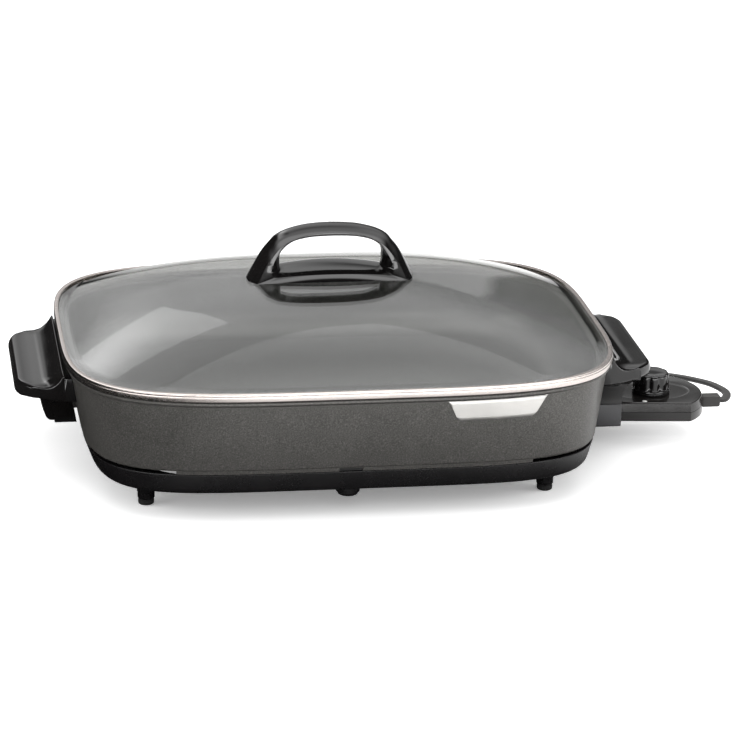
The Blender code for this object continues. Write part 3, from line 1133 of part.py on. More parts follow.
def make_control(parent):
    """The heat control without its knob. Places are measured from the knob's axis."""
    shell, edge = CONTROL_SHELL, CONTROL_EDGE
    split = CONTROL_PARTING
    lower_rings = [
        flat_ring(control_outline(edge), CONTROL_BOTTOM),
        flat_ring(control_outline(edge / 4), CONTROL_BOTTOM + edge / 3),
        flat_ring(control_outline(), CONTROL_BOTTOM + edge),
        flat_ring(control_outline(), split - GAP / 2),
        flat_ring(control_outline(shell), split - GAP / 2),
        flat_ring(control_outline(shell), CONTROL_BOTTOM + shell),
    ]
    lower = add_object("control_lower_housing", loft_mesh("lower", lower_rings), "black_phenolic",
                       parent)
    upper_rings = [
        flat_ring(control_outline(edge), CONTROL_TOP),
        flat_ring(control_outline(edge / 4), CONTROL_TOP - edge / 3),
        flat_ring(control_outline(), CONTROL_TOP - edge),
        flat_ring(control_outline(), split + GAP / 2),
        flat_ring(control_outline(shell), split + GAP / 2),
        flat_ring(control_outline(shell), CONTROL_TOP - shell),
    ]
    upper = add_object("control_upper_housing", loft_mesh("upper", upper_rings), "black_phenolic",
                       parent)
    recess = superellipse(RECESS_LENGTH / 2, RECESS_WIDTH / 2, 2, 40)
    cut(upper, prism_mesh("recess", recess, "z", CONTROL_TOP - RECESS_DEPTH,
                          CONTROL_TOP + OVERRUN))
    cut(upper, rod_mesh("shaft_hole", SHAFT_RADIUS + GAP, (0, 0, CONTROL_TOP - shell - OVERRUN),
                        (0, 0, CONTROL_TOP + OVERRUN), 16))
    lens = (LENS_X - KNOB_X, LENS_Y)
    cut(upper, rod_mesh("lens_hole", LENS_RADIUS + GAP, (*lens, CONTROL_TOP - shell - OVERRUN),
                        (*lens, CONTROL_TOP + OVERRUN), 16))
    root = CONTROL_ROOT_X - KNOB_X
    half = TERMINAL_SPACING / 2
    for side, radius in ((-1, SLEEVE_RADIUS), (0, PROBE_RADIUS), (1, SLEEVE_RADIUS)):
        for housing in (lower, upper):
            cut(housing, rod_mesh("front_hole", radius + GAP,
                                  (root - OVERRUN, side * half, CONTROL_AXIS),
                                  (root + shell + OVERRUN, side * half, CONTROL_AXIS), 16))
    neck = RELIEF_NECK / 2 + GAP
    for housing in (lower, upper):
        cut(housing, box_mesh("relief_hole",
                              (CONTROL_END_RADIUS - shell - OVERRUN, -neck, RELIEF_AXIS - neck),
                              (CONTROL_END_RADIUS + OVERRUN, neck, RELIEF_AXIS + neck)))
    for side_y in (-1, 1):
        hole = (CONTROL_SCREW_X - KNOB_X, side_y * CONTROL_SCREW_Y)
        cut(lower, rod_mesh("screw_hole", SCREW_RADIUS + GAP, (*hole, CONTROL_BOTTOM - OVERRUN),
                            (*hole, CONTROL_BOTTOM + shell + OVERRUN), 12))
    for face, side_y in (("front", -1), ("back", 1)):
        turned(f"control_screw_{face}", screw_profile(CONTROL_SCREW_LENGTH), "zinc_steel", parent,
               (CONTROL_SCREW_X - KNOB_X, side_y * CONTROL_SCREW_Y, CONTROL_BOTTOM - GAP), 12)
    make_control_works(parent)
    make_relief(parent)


def make_control_works(parent):
    """Heat shield, probe, contact sleeves, thermostat base and pilot light lens."""
    half = TERMINAL_SPACING / 2
    start, end = SHIELD_START_X - KNOB_X, CONTROL_ROOT_X - GAP - KNOB_X
    edge, sheet = SHIELD_SHEET, SHIELD_SHEET
    outer = rounded([(-SHIELD_HALF, SHIELD_BOTTOM, 2 * edge), (SHIELD_HALF, SHIELD_BOTTOM, 2 * edge),
                     (SHIELD_HALF, SHIELD_TOP, 2 * edge), (-SHIELD_HALF, SHIELD_TOP, 2 * edge)], 3)
    shield = add_object("heat_shield", prism_mesh("heat_shield", outer, "x", start, end),
                        "zinc_steel", parent)
    inner = rounded([(-SHIELD_HALF + sheet, SHIELD_BOTTOM + sheet, edge),
                     (SHIELD_HALF - sheet, SHIELD_BOTTOM + sheet, edge),
                     (SHIELD_HALF - sheet, SHIELD_TOP - sheet, edge),
                     (-SHIELD_HALF + sheet, SHIELD_TOP - sheet, edge)], 3)
    cut(shield, prism_mesh("shield_bore", inner, "x", start - OVERRUN, end - sheet))
    for side, radius in ((-1, SLEEVE_RADIUS), (0, PROBE_RADIUS), (1, SLEEVE_RADIUS)):
        cut(shield, rod_mesh("hole", radius + GAP, (end - sheet - OVERRUN, side * half, CONTROL_AXIS),
                             (end + OVERRUN, side * half, CONTROL_AXIS), 16))
    seat = THERMOSTAT_X - GAP - KNOB_X
    probe = add_object("probe_tube", rod_mesh("probe_tube", PROBE_RADIUS,
                                              (PROBE_START_X - KNOB_X, 0, CONTROL_AXIS),
                                              (seat, 0, CONTROL_AXIS)), "zinc_steel", parent)
    soften(probe, PROBE_RADIUS / 3, 2, 60)
    for face, side in (("front", -1), ("back", 1)):
        sleeve = rod_mesh("sleeve", SLEEVE_RADIUS, (SLEEVE_START_X - KNOB_X, side * half,
                                                    CONTROL_AXIS), (seat, side * half, CONTROL_AXIS))
        sleeve = add_object(f"contact_sleeve_{face}", sleeve, "blade_brass", parent)
        cut(sleeve, rod_mesh("sleeve_bore", SLEEVE_BORE,
                             (SLEEVE_START_X - OVERRUN - KNOB_X, side * half, CONTROL_AXIS),
                             (TERMINAL_END_X + OVERRUN - KNOB_X, side * half, CONTROL_AXIS), 16))
    low = (THERMOSTAT_X - KNOB_X, -THERMOSTAT_WIDTH / 2, THERMOSTAT_BOTTOM)
    high = (low[0] + THERMOSTAT_LENGTH, THERMOSTAT_WIDTH / 2, THERMOSTAT_TOP)
    middle = (THERMOSTAT_BOTTOM + THERMOSTAT_TOP) / 2
    base = add_object("thermostat_base", box_mesh("thermostat_base", low, high), "white_ceramic",
                      parent)
    cut(base, rod_mesh("shaft_seat", SHAFT_RADIUS + GAP, (0, 0, middle - GAP),
                       (0, 0, THERMOSTAT_TOP + OVERRUN), 16))
    soften(base, CONTROL_EDGE / 2, 1)
    lens_top = CONTROL_TOP + GAP
    profile = [(0, lens_top), (LENS_RADIUS * 0.8, lens_top), (LENS_RADIUS, lens_top - GAP),
               (LENS_RADIUS, lens_top - LENS_HEIGHT), (0, lens_top - LENS_HEIGHT)]
    turned("pilot_light_lens", profile, "lens_plastic", parent, (LENS_X - KNOB_X, LENS_Y, 0), 16)


def block_ring(x, width, height, edge):
    """A rectangle with cut corners, square to X and centred on the strain relief's axis."""
    half_w, half_h = width / 2, height / 2
    corners = [(half_w - edge, -half_h), (half_w, -half_h + edge), (half_w, half_h - edge),
               (half_w - edge, half_h), (-half_w + edge, half_h), (-half_w, half_h - edge),
               (-half_w, -half_h + edge), (-half_w + edge, -half_h)]
    return [(x, y, RELIEF_AXIS + z) for y, z in corners]


def make_relief(parent):
    """The strain relief: a flange inside the housing, a neck through its wall and a block."""
    end = RELIEF_END_X - KNOB_X
    wall = CONTROL_END_RADIUS
    inside = wall - CONTROL_SHELL - GAP - (CONTROL_END_RADIUS - math.sqrt(
        CONTROL_END_RADIUS ** 2 - RELIEF_WIDTH ** 2 / 4))
    neck, flange = RELIEF_NECK, RELIEF_FLANGE
    edge = RELIEF_FLANGE / 2
    wide, tall = RELIEF_WIDTH, RELIEF_HEIGHT
    sizes = [(inside - flange, wide - edge, neck), (inside, wide - edge, neck),
             (inside + GAP, neck, neck), (wall + GAP, neck, neck),
             (wall + 2 * GAP, wide, tall), (end - flange, wide, tall), (end, wide - flange, tall - edge)]
    rings = [block_ring(x, width, height, edge / 2) for x, width, height in sizes]
    add_object("strain_relief", loft_mesh("strain_relief", rings), "cord_jacket", parent)


def make_dial(parent):
    """The fluted knob and its shaft. Places are measured from the knob's axis."""
    low = CONTROL_TOP - RECESS_DEPTH + GAP
    top = low + KNOB_HEIGHT
    points = KNOB_FLUTES * 5
    rings = []

    def fluted(radius, depth, height):
        ring = []
        for index in range(points):
            angle = FULL_TURN * index / points
            reach = radius - depth * (0.5 + 0.5 * math.cos(KNOB_FLUTES * angle))
            ring.append((reach * math.cos(angle), reach * math.sin(angle), height))
        return ring

    skirt = KNOB_SKIRT_RADIUS
    rings.append(fluted(skirt - GAP, 0.0, low))
    rings.append(fluted(skirt, 0.0, low + KNOB_SKIRT * 0.3))
    rings.append(fluted(skirt - GAP, 0.0, low + KNOB_SKIRT * 0.6))
    rings.append(fluted(KNOB_RADIUS + GAP, KNOB_FLUTE_DEPTH / 2, low + KNOB_SKIRT))
    rings.append(fluted(KNOB_RADIUS, KNOB_FLUTE_DEPTH, low + KNOB_SKIRT * 1.5))
    rings.append(fluted(KNOB_RADIUS * 0.97, KNOB_FLUTE_DEPTH, top - KNOB_WALL / 2))
    rings.append(fluted(KNOB_RADIUS * 0.91, KNOB_FLUTE_DEPTH / 2, top))
    rings.append(fluted(KNOB_RADIUS * 0.78, 0.0, top - KNOB_WALL / 5))
    knob = add_object("dial_knob", loft_mesh("dial_knob", rings), "black_phenolic", parent)
    cut(knob, rod_mesh("knob_bore", SHAFT_RADIUS + GAP, (0, 0, low - OVERRUN),
                       (0, 0, top - KNOB_WALL * 2), 16))
    shaft_top = top - KNOB_WALL * 2 - GAP
    bottom = (THERMOSTAT_BOTTOM + THERMOSTAT_TOP) / 2
    profile = [(0, shaft_top), (SHAFT_RADIUS, shaft_top), (SHAFT_RADIUS, COLLAR_TOP),
               (SHAFT_COLLAR, COLLAR_TOP), (SHAFT_COLLAR, COLLAR_BOTTOM),
               (SHAFT_RADIUS, COLLAR_BOTTOM), (SHAFT_RADIUS, bottom), (0, bottom)]
    turned("dial_shaft", profile, "zinc_steel", parent, (0, 0, 0), 16)


def coil_points():
    """The put-away turns: in on the lower layer, up a layer where they reverse, and out again."""
    points = [(COIL_X + CORD_WIDTH, COIL_FRONT_Y, CORD_HEIGHT)]
    steps = COIL_TURNS * COIL_STEPS
    for index in range(steps + 1):
        travelled = index / COIL_STEPS
        inwards = min(travelled, COIL_TURNS - travelled)
        radius = COIL_RADIUS - COIL_PITCH * inwards
        climb = min(1, max(0, (travelled - COIL_TURNS / 2) / 0.5 + 0.5))
        climb = climb * climb * (3 - 2 * climb)
        angle = -QUARTER_TURN - FULL_TURN * travelled
        points.append((COIL_X + radius * math.cos(angle), COIL_Y + radius * math.sin(angle),
                       mix(CORD_HEIGHT, UPPER_CORD_HEIGHT, climb)))
    points.append((COIL_X - COIL_TAIL / 2, COIL_FRONT_Y, UPPER_CORD_HEIGHT))
    points.append((COIL_X - COIL_TAIL, COIL_FRONT_Y, UPPER_CORD_HEIGHT))
    return [Vector(point) for point in points]


def least_gap(points, width):
    """The least distance between the faces of stretches that aren't next to each other."""
    least = None
    skip = round(COIL_STEPS / 2)
    for index, point in enumerate(points):
        for other in points[index + skip:]:
            gap = (other - point).length - width
            least = gap if least is None else min(least, gap)
    return least


def make_cord(parent):
    """The free cord, the coil of spare cord, its tie and the plug, in the control's frame."""
    shift = Vector((KNOB_X, 0, 0))
    coil_start = Vector((COIL_X + CORD_WIDTH + GAP, COIL_FRONT_Y, CORD_HEIGHT))
    run_in = coil_start + Vector((CORD_WIDTH * 2, 0, 0))
    outlet = Vector((RELIEF_END_X + GAP, 0, RELIEF_AXIS))
    route, free_length = smooth_route(CORD_ROUTE + (tuple(run_in), tuple(coil_start)), CORD_STEP)
    route.insert(0, outlet)
    tube("cord", [point - shift for point in route], CORD_WIDTH / 2, "cord_jacket", parent)
    turns = coil_points()
    tube("cord_coil", [point - shift for point in turns], CORD_WIDTH / 2, "cord_jacket", parent, 1)
    coil_length = sum((after - before).length for before, after in zip(turns, turns[1:]))
    print("cord length in metres:", round(free_length + coil_length, 4))
    print("least gap in the coil in metres:", round(least_gap(turns[1:-2], CORD_WIDTH), 5))
    make_tie(parent)
    make_plug(parent)


def make_tie(parent):
    """A strap round every turn at the back of the coil."""
    inner = COIL_RADIUS - COIL_PITCH * COIL_TURNS / 2 - CORD_WIDTH / 2 - GAP
    outer = COIL_RADIUS - COIL_PITCH / 2 + CORD_WIDTH / 2 + GAP
    low, high = CORD_HEIGHT - CORD_WIDTH / 2 - GAP, UPPER_CORD_HEIGHT + CORD_WIDTH / 2 + GAP
    corner = CORD_WIDTH / 3
    sheet = TIE_SHEET
    rings = []
    for offset in (0.0, sheet):
        loop = rounded([(inner - offset, low - offset, corner), (outer + offset, low - offset, corner),
                        (outer + offset, high + offset, corner),
                        (inner - offset, high + offset, corner)], 4)
        for x in (-TIE_WIDTH / 2, TIE_WIDTH / 2):
            place_x = COIL_X - KNOB_X + x
            rings.append([(place_x, COIL_Y + radius, height) for radius, height in loop])
    order = [rings[0], rings[1], rings[3], rings[2]]
    add_object("cord_tie", loft_mesh("cord_tie", order, True), "grey_rubber", parent)


def make_plug(parent):
    """The moulded plug beside the coil, lying on its broad face, with two flat blades."""
    start = COIL_X - COIL_TAIL - GAP - KNOB_X
    thick = 2 * UPPER_CORD_HEIGHT
    neck = CORD_WIDTH + 2 * PLUG_EDGE
    body = start - PLUG_NECK_LENGTH
    rings = [plug_ring(start, neck, neck),
             plug_ring(body + PLUG_EDGE, PLUG_NECK_WIDTH + PLUG_EDGE, neck + PLUG_EDGE)]
    rings.append(plug_ring(body - PLUG_EDGE, PLUG_WIDTH - 2 * PLUG_EDGE, thick - 2 * PLUG_EDGE))
    rings.append(plug_ring(body - 3 * PLUG_EDGE, PLUG_WIDTH, thick))
    rings.append(plug_ring(body - PLUG_LENGTH + PLUG_EDGE, PLUG_WIDTH, thick))
    rings.append(plug_ring(body - PLUG_LENGTH, PLUG_WIDTH - PLUG_EDGE, thick - PLUG_EDGE))
    add_object("plug_body", loft_mesh("plug_body", rings), "cord_jacket", parent)
    face = body - PLUG_LENGTH - GAP
    for number, side in ((1, -1), (2, 1)):
        middle = COIL_FRONT_Y + side * BLADE_SPACING / 2
        low = (face - BLADE_LENGTH, middle - BLADE_SHEET / 2, UPPER_CORD_HEIGHT - BLADE_HEIGHT / 2)
        high = (face, middle + BLADE_SHEET / 2, UPPER_CORD_HEIGHT + BLADE_HEIGHT / 2)
        blade = add_object(f"plug_blade_{number}", box_mesh("plug_blade", low, high), "blade_brass",
                           parent)
        soften(blade, BLADE_SHEET / 4, 1)


def plug_ring(x, width, height):
    """A rounded rectangle square to X, centred on the line that the plug lies along."""
    return [(x, COIL_FRONT_Y + across, UPPER_CORD_HEIGHT + up)
            for across, up in superellipse(width / 2, height / 2, 3.4, 20)]


def build():
    """Builds the skillet, body by body."""
    make_materials()
    frame = add_empty("skillet_frame", (FRAME_SHIFT, 0, 0))
    make_pan(frame)
    make_base(frame)
    make_foot_pads(frame)
    make_element(frame)
    for end, side in (("left", -1), ("right", 1)):
        make_handle(end, side, frame)
    make_guard(frame)
    make_root_screws(frame)
    make_badge(frame)
    lid = add_empty("lid_lift", (0, 0, 0), frame)
    make_glass(lid)
    make_band(lid)
    make_lid_handle(lid)
    make_lid_screws(lid)
    control = add_empty("control_pull", (KNOB_X, 0, 0), frame)
    make_control(control)
    make_cord(control)
    dial = add_empty("dial_turn", (0, 0, 0), control)
    make_dial(dial)


for old in list(bpy.data.objects):
    bpy.data.objects.remove(old)
PARTS = bpy.data.collections.new("electric_skillet")
CUTTERS = bpy.data.collections.new("cutting_shapes")
bpy.context.scene.collection.children.link(PARTS)
bpy.context.scene.collection.children.link(CUTTERS)
build()
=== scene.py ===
"""Looks of the electric skillet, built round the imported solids. Metres, +Z up, front at -Y."""
import json
from math import asin, copysign, cos, exp, hypot, pi, radians, sin, sqrt, tan

import bmesh
import bpy
from mathutils import Matrix, Vector


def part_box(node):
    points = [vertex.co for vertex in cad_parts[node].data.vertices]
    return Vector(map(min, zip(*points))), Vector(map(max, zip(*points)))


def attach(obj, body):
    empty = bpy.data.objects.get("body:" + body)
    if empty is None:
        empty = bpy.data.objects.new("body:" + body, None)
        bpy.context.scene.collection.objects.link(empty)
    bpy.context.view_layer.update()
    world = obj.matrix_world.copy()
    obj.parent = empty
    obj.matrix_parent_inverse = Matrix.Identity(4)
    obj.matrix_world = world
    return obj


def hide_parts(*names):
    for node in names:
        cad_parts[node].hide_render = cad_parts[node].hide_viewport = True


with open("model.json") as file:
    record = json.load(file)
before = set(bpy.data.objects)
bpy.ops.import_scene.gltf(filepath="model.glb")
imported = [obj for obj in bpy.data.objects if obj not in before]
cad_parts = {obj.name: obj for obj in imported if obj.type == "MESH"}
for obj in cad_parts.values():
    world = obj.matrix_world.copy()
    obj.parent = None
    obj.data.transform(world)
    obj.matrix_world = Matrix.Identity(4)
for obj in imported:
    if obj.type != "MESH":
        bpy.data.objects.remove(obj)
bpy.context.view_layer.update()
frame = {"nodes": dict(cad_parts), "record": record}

PAN_LOW, PAN_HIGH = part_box("pan")
PAN_X = (PAN_LOW.x + PAN_HIGH.x) / 2         # the pan's own frame is moved along X by this
CORNERS = tuple((face, end, side_x, side_y) for end, side_x in (("left", -1), ("right", 1))
                for face, side_y in (("front", -1), ("back", 1)))
LOOKS = {}                                   # the materials by slot, filled by build
FULL_TURN = 2 * pi
GAP = 0.0003
OVERRUN = 0.002
RING_POINTS = 240

# Camera, in the pan's frame
CAMERA_PLACE = (-0.3419, -2.3009, 0.8732)
CAMERA_YAW = 0.1607
CAMERA_PITCH = 0.335
CAMERA_ROLL = 0.0228
FOCAL_PIXELS = 3206.14
IMAGE_PIXELS = 736
SENSOR_WIDTH = 36

# Pan and lid band
RIM_LENGTH = 0.4140
RIM_DEPTH = 0.3200
RIM_POWER = 4.05
BAND_BOTTOM = 0.0940
BAND_HEIGHT = 0.0064
BAND_SHEET = 0.0008
BAND_FLANGE = 0.0034
FOOT_LENGTH = 0.3868
FOOT_DEPTH = 0.3098
FOOT_POWER = 4.8
FOOT_HEIGHT = 0.0404
WALL_TOP_LENGTH = 0.4070
WALL_TOP_DEPTH = 0.3146
WALL_TOP_HEIGHT = 0.0898
LIP_OVERHANG = 0.0020
LIP_THICKNESS = 0.0026
LEDGE_SETBACK = 0.0060
LEDGE_DROP = 0.0036
LEDGE_WIDTH = 0.0040
WALL_THICKNESS = 0.0036
FLOOR_THICKNESS = 0.0045
FLOOR_RISE = 0.0005
INNER_FILLET = 0.0200
FLOOR_INSET = 0.0600                         # where the floor's flat middle begins
STRIP_THICKNESS = 0.0030
STRIP_SETBACK = 0.0005
CORNER_GAP_X = 0.1310
CORNER_GAP_Y = 0.0880
SLOT_WIDTH = 0.0175
SLOT_OFFSET = -0.0045
BOSS_RADIUS = 0.0060
BOSS_X = 0.0850
BOSS_Y = 0.1350
WELL_LENGTH = 0.0200
WELL_WIDTH = 0.0160
WELL_END_X = 0.1800
LUG_LENGTH = 0.0180
LUG_WIDTH = 0.0100
LUG_HEIGHT = 0.0070
LUG_BOTTOM = 0.0500
LUG_Y = 0.0310

# Base
BASE_TOP_INSET = 0.0008
BASE_LOW_LENGTH = 0.3720
BASE_LOW_DEPTH = 0.3040
BASE_LOW_POWER = 5.4
BASE_BOTTOM = 0.0208
BASE_WALL = 0.0026
BASE_FLANGE = 0.0320
BASE_EDGE_RADIUS = 0.0050
WINDOW_WIDTH = 0.0600
LEG_X = 0.1496
LEG_Y = 0.1080
LEG_RADIUS = 0.0068
LEG_WAIST_SHARE = 0.93
PAD_RADIUS = 0.0059
PAD_HEIGHT = 0.0042
MIDFOOT_RADIUS = 0.0088
MIDFOOT_Y = 0.1395
MIDFOOT_BOTTOM = 0.0140
ELEMENT_RADIUS = 0.0032
ELEMENT_HALF_LENGTH = 0.1450
ELEMENT_HALF_DEPTH = 0.0920
ELEMENT_CORNER = 0.0450
ELEMENT_POWER = 3.6
ELEMENT_END_SHARE = 0.99          # the loop is open beyond this, for the terminals
TERMINAL_SPACING = 0.0260
TERMINAL_START_X = 0.1824

# Side handles and terminal guard
GRIP_REACH = 0.2430
GRIP_ROOT = 0.2064
GRIP_ROOT_DEPTH = 0.0180
GRIP_LOW = 0.0670
GRIP_HIGH = 0.0890
GRIP_HALF_ROOT = 0.0718
GRIP_HALF_OUTER = 0.0605
GRIP_CORNER = 0.0160
GRIP_EDGE = 0.0010
GRIP_ROUND = 0.0026               # the rounding between the grip's top and its ends
GRIP_STATIONS = 12
GRIP_MIDDLE_SHARE = 0.27
GRIP_THIN_SHARE = 0.9
GRIP_BEND_SHARE = 0.45
GRIP_ROOT_HEIGHT_SHARE = 0.86
HANGER_ROOT = 0.1956
HANGER_REACH = 0.2121
CONTROL_HANGER_REACH = 0.2228
HANGER_HALF = 0.0400
HANGER_HALF_TOP = 0.0640
HANGER_BOTTOM = 0.0402
APRON_HALF = 0.0350
GUARD_REACH = 0.2231
GUARD_ROOT = 0.1937
GUARD_HALF = 0.0400
GUARD_BOTTOM = 0.0213
GUARD_WALL = 0.0024

# Badge plate
BADGE_LEFT_X = 0.0653
BADGE_RIGHT_X = 0.1403
BADGE_TOP = 0.0896
BADGE_BOTTOM = 0.0745
BADGE_SLANT_LEFT = 0.0059
BADGE_SLANT_RIGHT = 0.0085
BADGE_CORNER = 0.0050
BADGE_THICKNESS = 0.0008
BADGE_CORNER_RISE_SHARE = 0.8
BADGE_EDGE_DROP_SHARE = 0.55
BADGE_COLUMNS = 96
BADGE_LEVELS = 12

# Lid
GLASS_THICKNESS = 0.0042
GLASS_RIM_WIDTH = 0.0046
DOME_RISE = 0.0408
DOME_PROFILE = 2.2
DOME_POWER = 2.2
DOME_STEPS = 34
DOME_START_SHARE = 0.01
ARCH_HALF = 0.0645
ARCH_HEIGHT = 0.0428
ARCH_FOOT_DEPTH = 0.0180
ARCH_TOP_DEPTH = 0.0106
ARCH_BOW = 0.0059                 # the foot bows out by this at its middle
ARCH_LIP_BOW = 0.0050
ARCH_SINK = 0.0002
ARCH_FLOOR_RISE = 0.0031
ARCH_STEPS = 5
ARCH_FLOOR_STEPS = 24
ARCH_STATIONS = 20
ARCH_DEPTH_POWER = 0.8
ARCH_CROWN_POWER = 2.2
ARCH_MOUTH_POWER = 3.0
ARCH_BOW_SHARE = 0.9

# Heat control
KNOB_X = 0.2555
CONTROL_END_RADIUS = 0.0412
CONTROL_WIDTH = 0.0656
CONTROL_ROOT_WIDTH = 0.0536
CONTROL_ROOT_X = 0.2236
CONTROL_BOTTOM = 0.0209
CONTROL_TOP = 0.0361
CONTROL_PARTING = 0.0286
CONTROL_SHELL = 0.0020
CONTROL_EDGE = 0.0012
CONTROL_LEAN = 0.0012
CONTROL_AXIS = 0.0298
RECESS_LENGTH = 0.0620
RECESS_WIDTH = 0.0420
RECESS_DEPTH = 0.0007
KNOB_RADIUS = 0.0141
KNOB_SKIRT_RADIUS = 0.0148
KNOB_SKIRT = 0.0030
KNOB_HEIGHT = 0.0160
KNOB_FLUTES = 10
KNOB_FLUTE_POINTS = 24
KNOB_FLUTE_DEPTH = 0.0009
KNOB_WALL = 0.0022
SHAFT_RADIUS = 0.0030
LENS_X = 0.2451
LENS_Y = -0.0240
LENS_RADIUS = 0.0019
LENS_HEIGHT = 0.0034
SHELL_STEPS = 5
CASE_HOLE_DEPTH = 0.0040
SLOT_HALF_HEIGHT = 0.0042
SLOT_SHARE = 0.67
RELIEF_HEIGHT = 0.0092
RELIEF_WIDTH = 0.0092
RELIEF_AXIS = 0.0265
RELIEF_END_X = 0.3112

# Cord
CORD_WIDTH = 0.0070
CORD_THICKNESS = 0.0038
CORD_LIFT = 0.0009
VALLEY_DEPTH_SHARE = 0.16         # the valley between the cord's two cores
VALLEY_WIDTH_SHARE = 0.22
COIL_RADIUS = 0.0412
COIL_PITCH = 0.0078
COIL_TURNS = 2
COIL_STEPS = 36
COIL_X = 0.1650
COIL_FRONT_Y = 0.1830
COIL_TAIL = 0.0320
TIE_WIDTH = 0.0060
TIE_SHEET = 0.0006
PLUG_LENGTH = 0.0300
PLUG_WIDTH = 0.0250
PLUG_NECK_LENGTH = 0.0120
PLUG_NECK_WIDTH = 0.0090
PLUG_EDGE = 0.0020
PLUG_NECK_END_SHARE = 0.94
PLUG_RIBS = 3
PLUG_RIB_STEP = 1.2               # in edge widths
CORD_HEIGHT = CORD_WIDTH / 2 + CORD_LIFT
UPPER_CORD_HEIGHT = CORD_HEIGHT + COIL_PITCH
COIL_Y = COIL_FRONT_Y + COIL_RADIUS
CORD_ROUTE = (
    (0.3150, 0.0002, 0.0265), (0.3184, 0.0056, 0.0262), (0.3211, 0.0134, 0.0257),
    (0.3219, 0.0220, 0.0251), (0.3206, 0.0334, 0.0240), (0.3171, 0.0521, 0.0213),
    (0.3099, 0.0747, 0.0170), (0.3030, 0.0950, 0.0125), (0.2962, 0.1105, 0.0088),
    (0.2880, 0.1225, 0.0062), (0.2780, 0.1330, 0.0049), (0.2620, 0.1460, 0.0044),
    (0.2440, 0.1590, 0.0044), (0.2240, 0.1710, 0.0044), (0.2030, 0.1795, 0.0044),
)

# Light
WORLD_LIGHT = 0.50                # the room's light on the skillet
FLOOR_COLOUR = 0.87
FLOOR_GAIN = 1.35                 # the floor is brighter to the camera, so that it is white
FLOOR_LIFT = 0.22
PAINTED_SIDE_LIGHT = 0.18                  # painted light: the shadows at the skillet's ends are painted paler
PAINTED_FRONT_GLOW = 7.0                  # painted glow: the floor far in front glows, seen in gloss alone
FRONT_WALL = 0.8                  # the room in front, the same way
KEY_GLOW = 3.2                    # a soft bright patch behind on the left
ROOM_GLOW = 0.025
SLANT_SHIFT = 0.2
# Steps as (low, high, start, end): a value eases from start to end as a place or a direction
# goes from low to high.
EDGE_STEP = (0.0, 0.20, 0.80, 0.16)
BEHIND = ("back", 0.0, 0.3)
# The room that gloss shows. Each panel is the product of such steps, on parts of the direction.
ROOM_PANELS = {
    "ceiling": (BEHIND, ("across", -0.36, -0.25), ("up", 0.27, 0.31),
                ("up", 0.30, 0.72, "edge", 1.5), ("up", 0.84, 0.96, 1.0, 0.5)),
    "wall": (BEHIND, ("across", -0.26, -0.20), ("across", 0.30, 0.32, 1.0, 0.0),
             ("up", 0.0, 0.06), ("up", 0.27, 0.31, 0.55, 0.0)),
    "key": (BEHIND, ("across", -0.36, -0.04, KEY_GLOW, 0.0), ("slant", 0.28, 0.46),
            ("slant", 0.50, 0.80, 1.0, 0.0)),
    "top": (("up", 0.50, 0.80), ("back", 0.0, 0.40, 1.0, 0.0), ("back", -0.65, -0.45),
            ("back", -0.14, 0.0, 4.2, 2.2)),
    "front": (("back", -0.75, -0.5, FRONT_WALL, 0.0), ("up", 0.10, 0.50, 1.0, 0.0)),
}
FLOOR_SIZE = 12
FLOOR_SQUEEZE = (0.75, 1.0, 1.0)
# Painted shade and light on the floor: shade near by, on the left and under the skillet; light on
# the right, at the ends and far in front.
FLOOR_PAINTED_NEAR_SHADE_STEP = (0.18, 0.36, 0.10, 1.1)
FLOOR_PAINTED_LEFT_SHADE_STEP = (-0.26, -0.04, 0.03, 1.0)
FLOOR_PAINTED_RIGHT_LIGHT_STEP = (0.14, 0.26, 0.0, 1.5)
FLOOR_PAINTED_GLOW_STEP = (-1.1, -0.4, PAINTED_FRONT_GLOW, 0.0)
FLOOR_PAINTED_UNDER_SHADE_STEP = (0.060, 0.085, 0.12, 1.0)
PAINTED_SIDE_LIGHT_STEP = (0.16, 0.27, 0.0, PAINTED_SIDE_LIGHT)
LAMP_TARGET = (0, 0, 0.06)
LAMPS = (
    ("overhead_softbox", (0.1, -0.1, 2.3), (3.2, 2.2), 22),
    ("back_softbox", (-0.70, 1.42, 1.12), (1.1, 0.8), 3.0),
    ("front_softbox", (0.0, -2.4, 1.5), (2.0, 1.2), 16),
    ("left_softbox", (-1.8, -0.2, 0.6), (1.8, 1.1), 20),
    ("right_softbox", (1.8, -0.3, 0.6), (1.8, 1.1), 21),
)

LIP_TOP = BAND_BOTTOM - GAP
UNDERSIDE = FOOT_HEIGHT + FLOOR_RISE
FLOOR_TOP = UNDERSIDE + FLOOR_THICKNESS
BASE_TOP = FOOT_HEIGHT - WALL_THICKNESS
STRIP_BOTTOM = BASE_TOP + GAP
FLANGE_TOP = BASE_BOTTOM + BASE_WALL
GLASS_TOP = BAND_BOTTOM + BAND_HEIGHT - BAND_SHEET - GAP
GLASS_LENGTH = RIM_LENGTH - 2 * (BAND_SHEET + GAP)
GLASS_DEPTH = RIM_DEPTH - 2 * (BAND_SHEET + GAP)
DOME_LENGTH = GLASS_LENGTH - 2 * GLASS_RIM_WIDTH
DOME_DEPTH = GLASS_DEPTH - 2 * GLASS_RIM_WIDTH
DOME_TOP = GLASS_TOP + DOME_RISE
LUG_REACH = HANGER_REACH - GUARD_WALL

# Turned pieces: shares of a radius and of a height.
MIDFOOT_SHARES = ((1.0, 0.36), (0.95, 0.30), (0.86, 0.27), (0.84, 0.10), (0.72, 0.03), (0.5, 0.0),
                  (0.0, 0.0))
PAD_SHARES = ((0.0, 1.0), (0.9, 1.0), (0.9, 0.86), (1.0, 0.80), (1.0, 0.52), (0.94, 0.46),
              (0.94, 0.38), (1.0, 0.32), (0.98, 0.12), (0.9, 0.0), (0.0, 0.0))
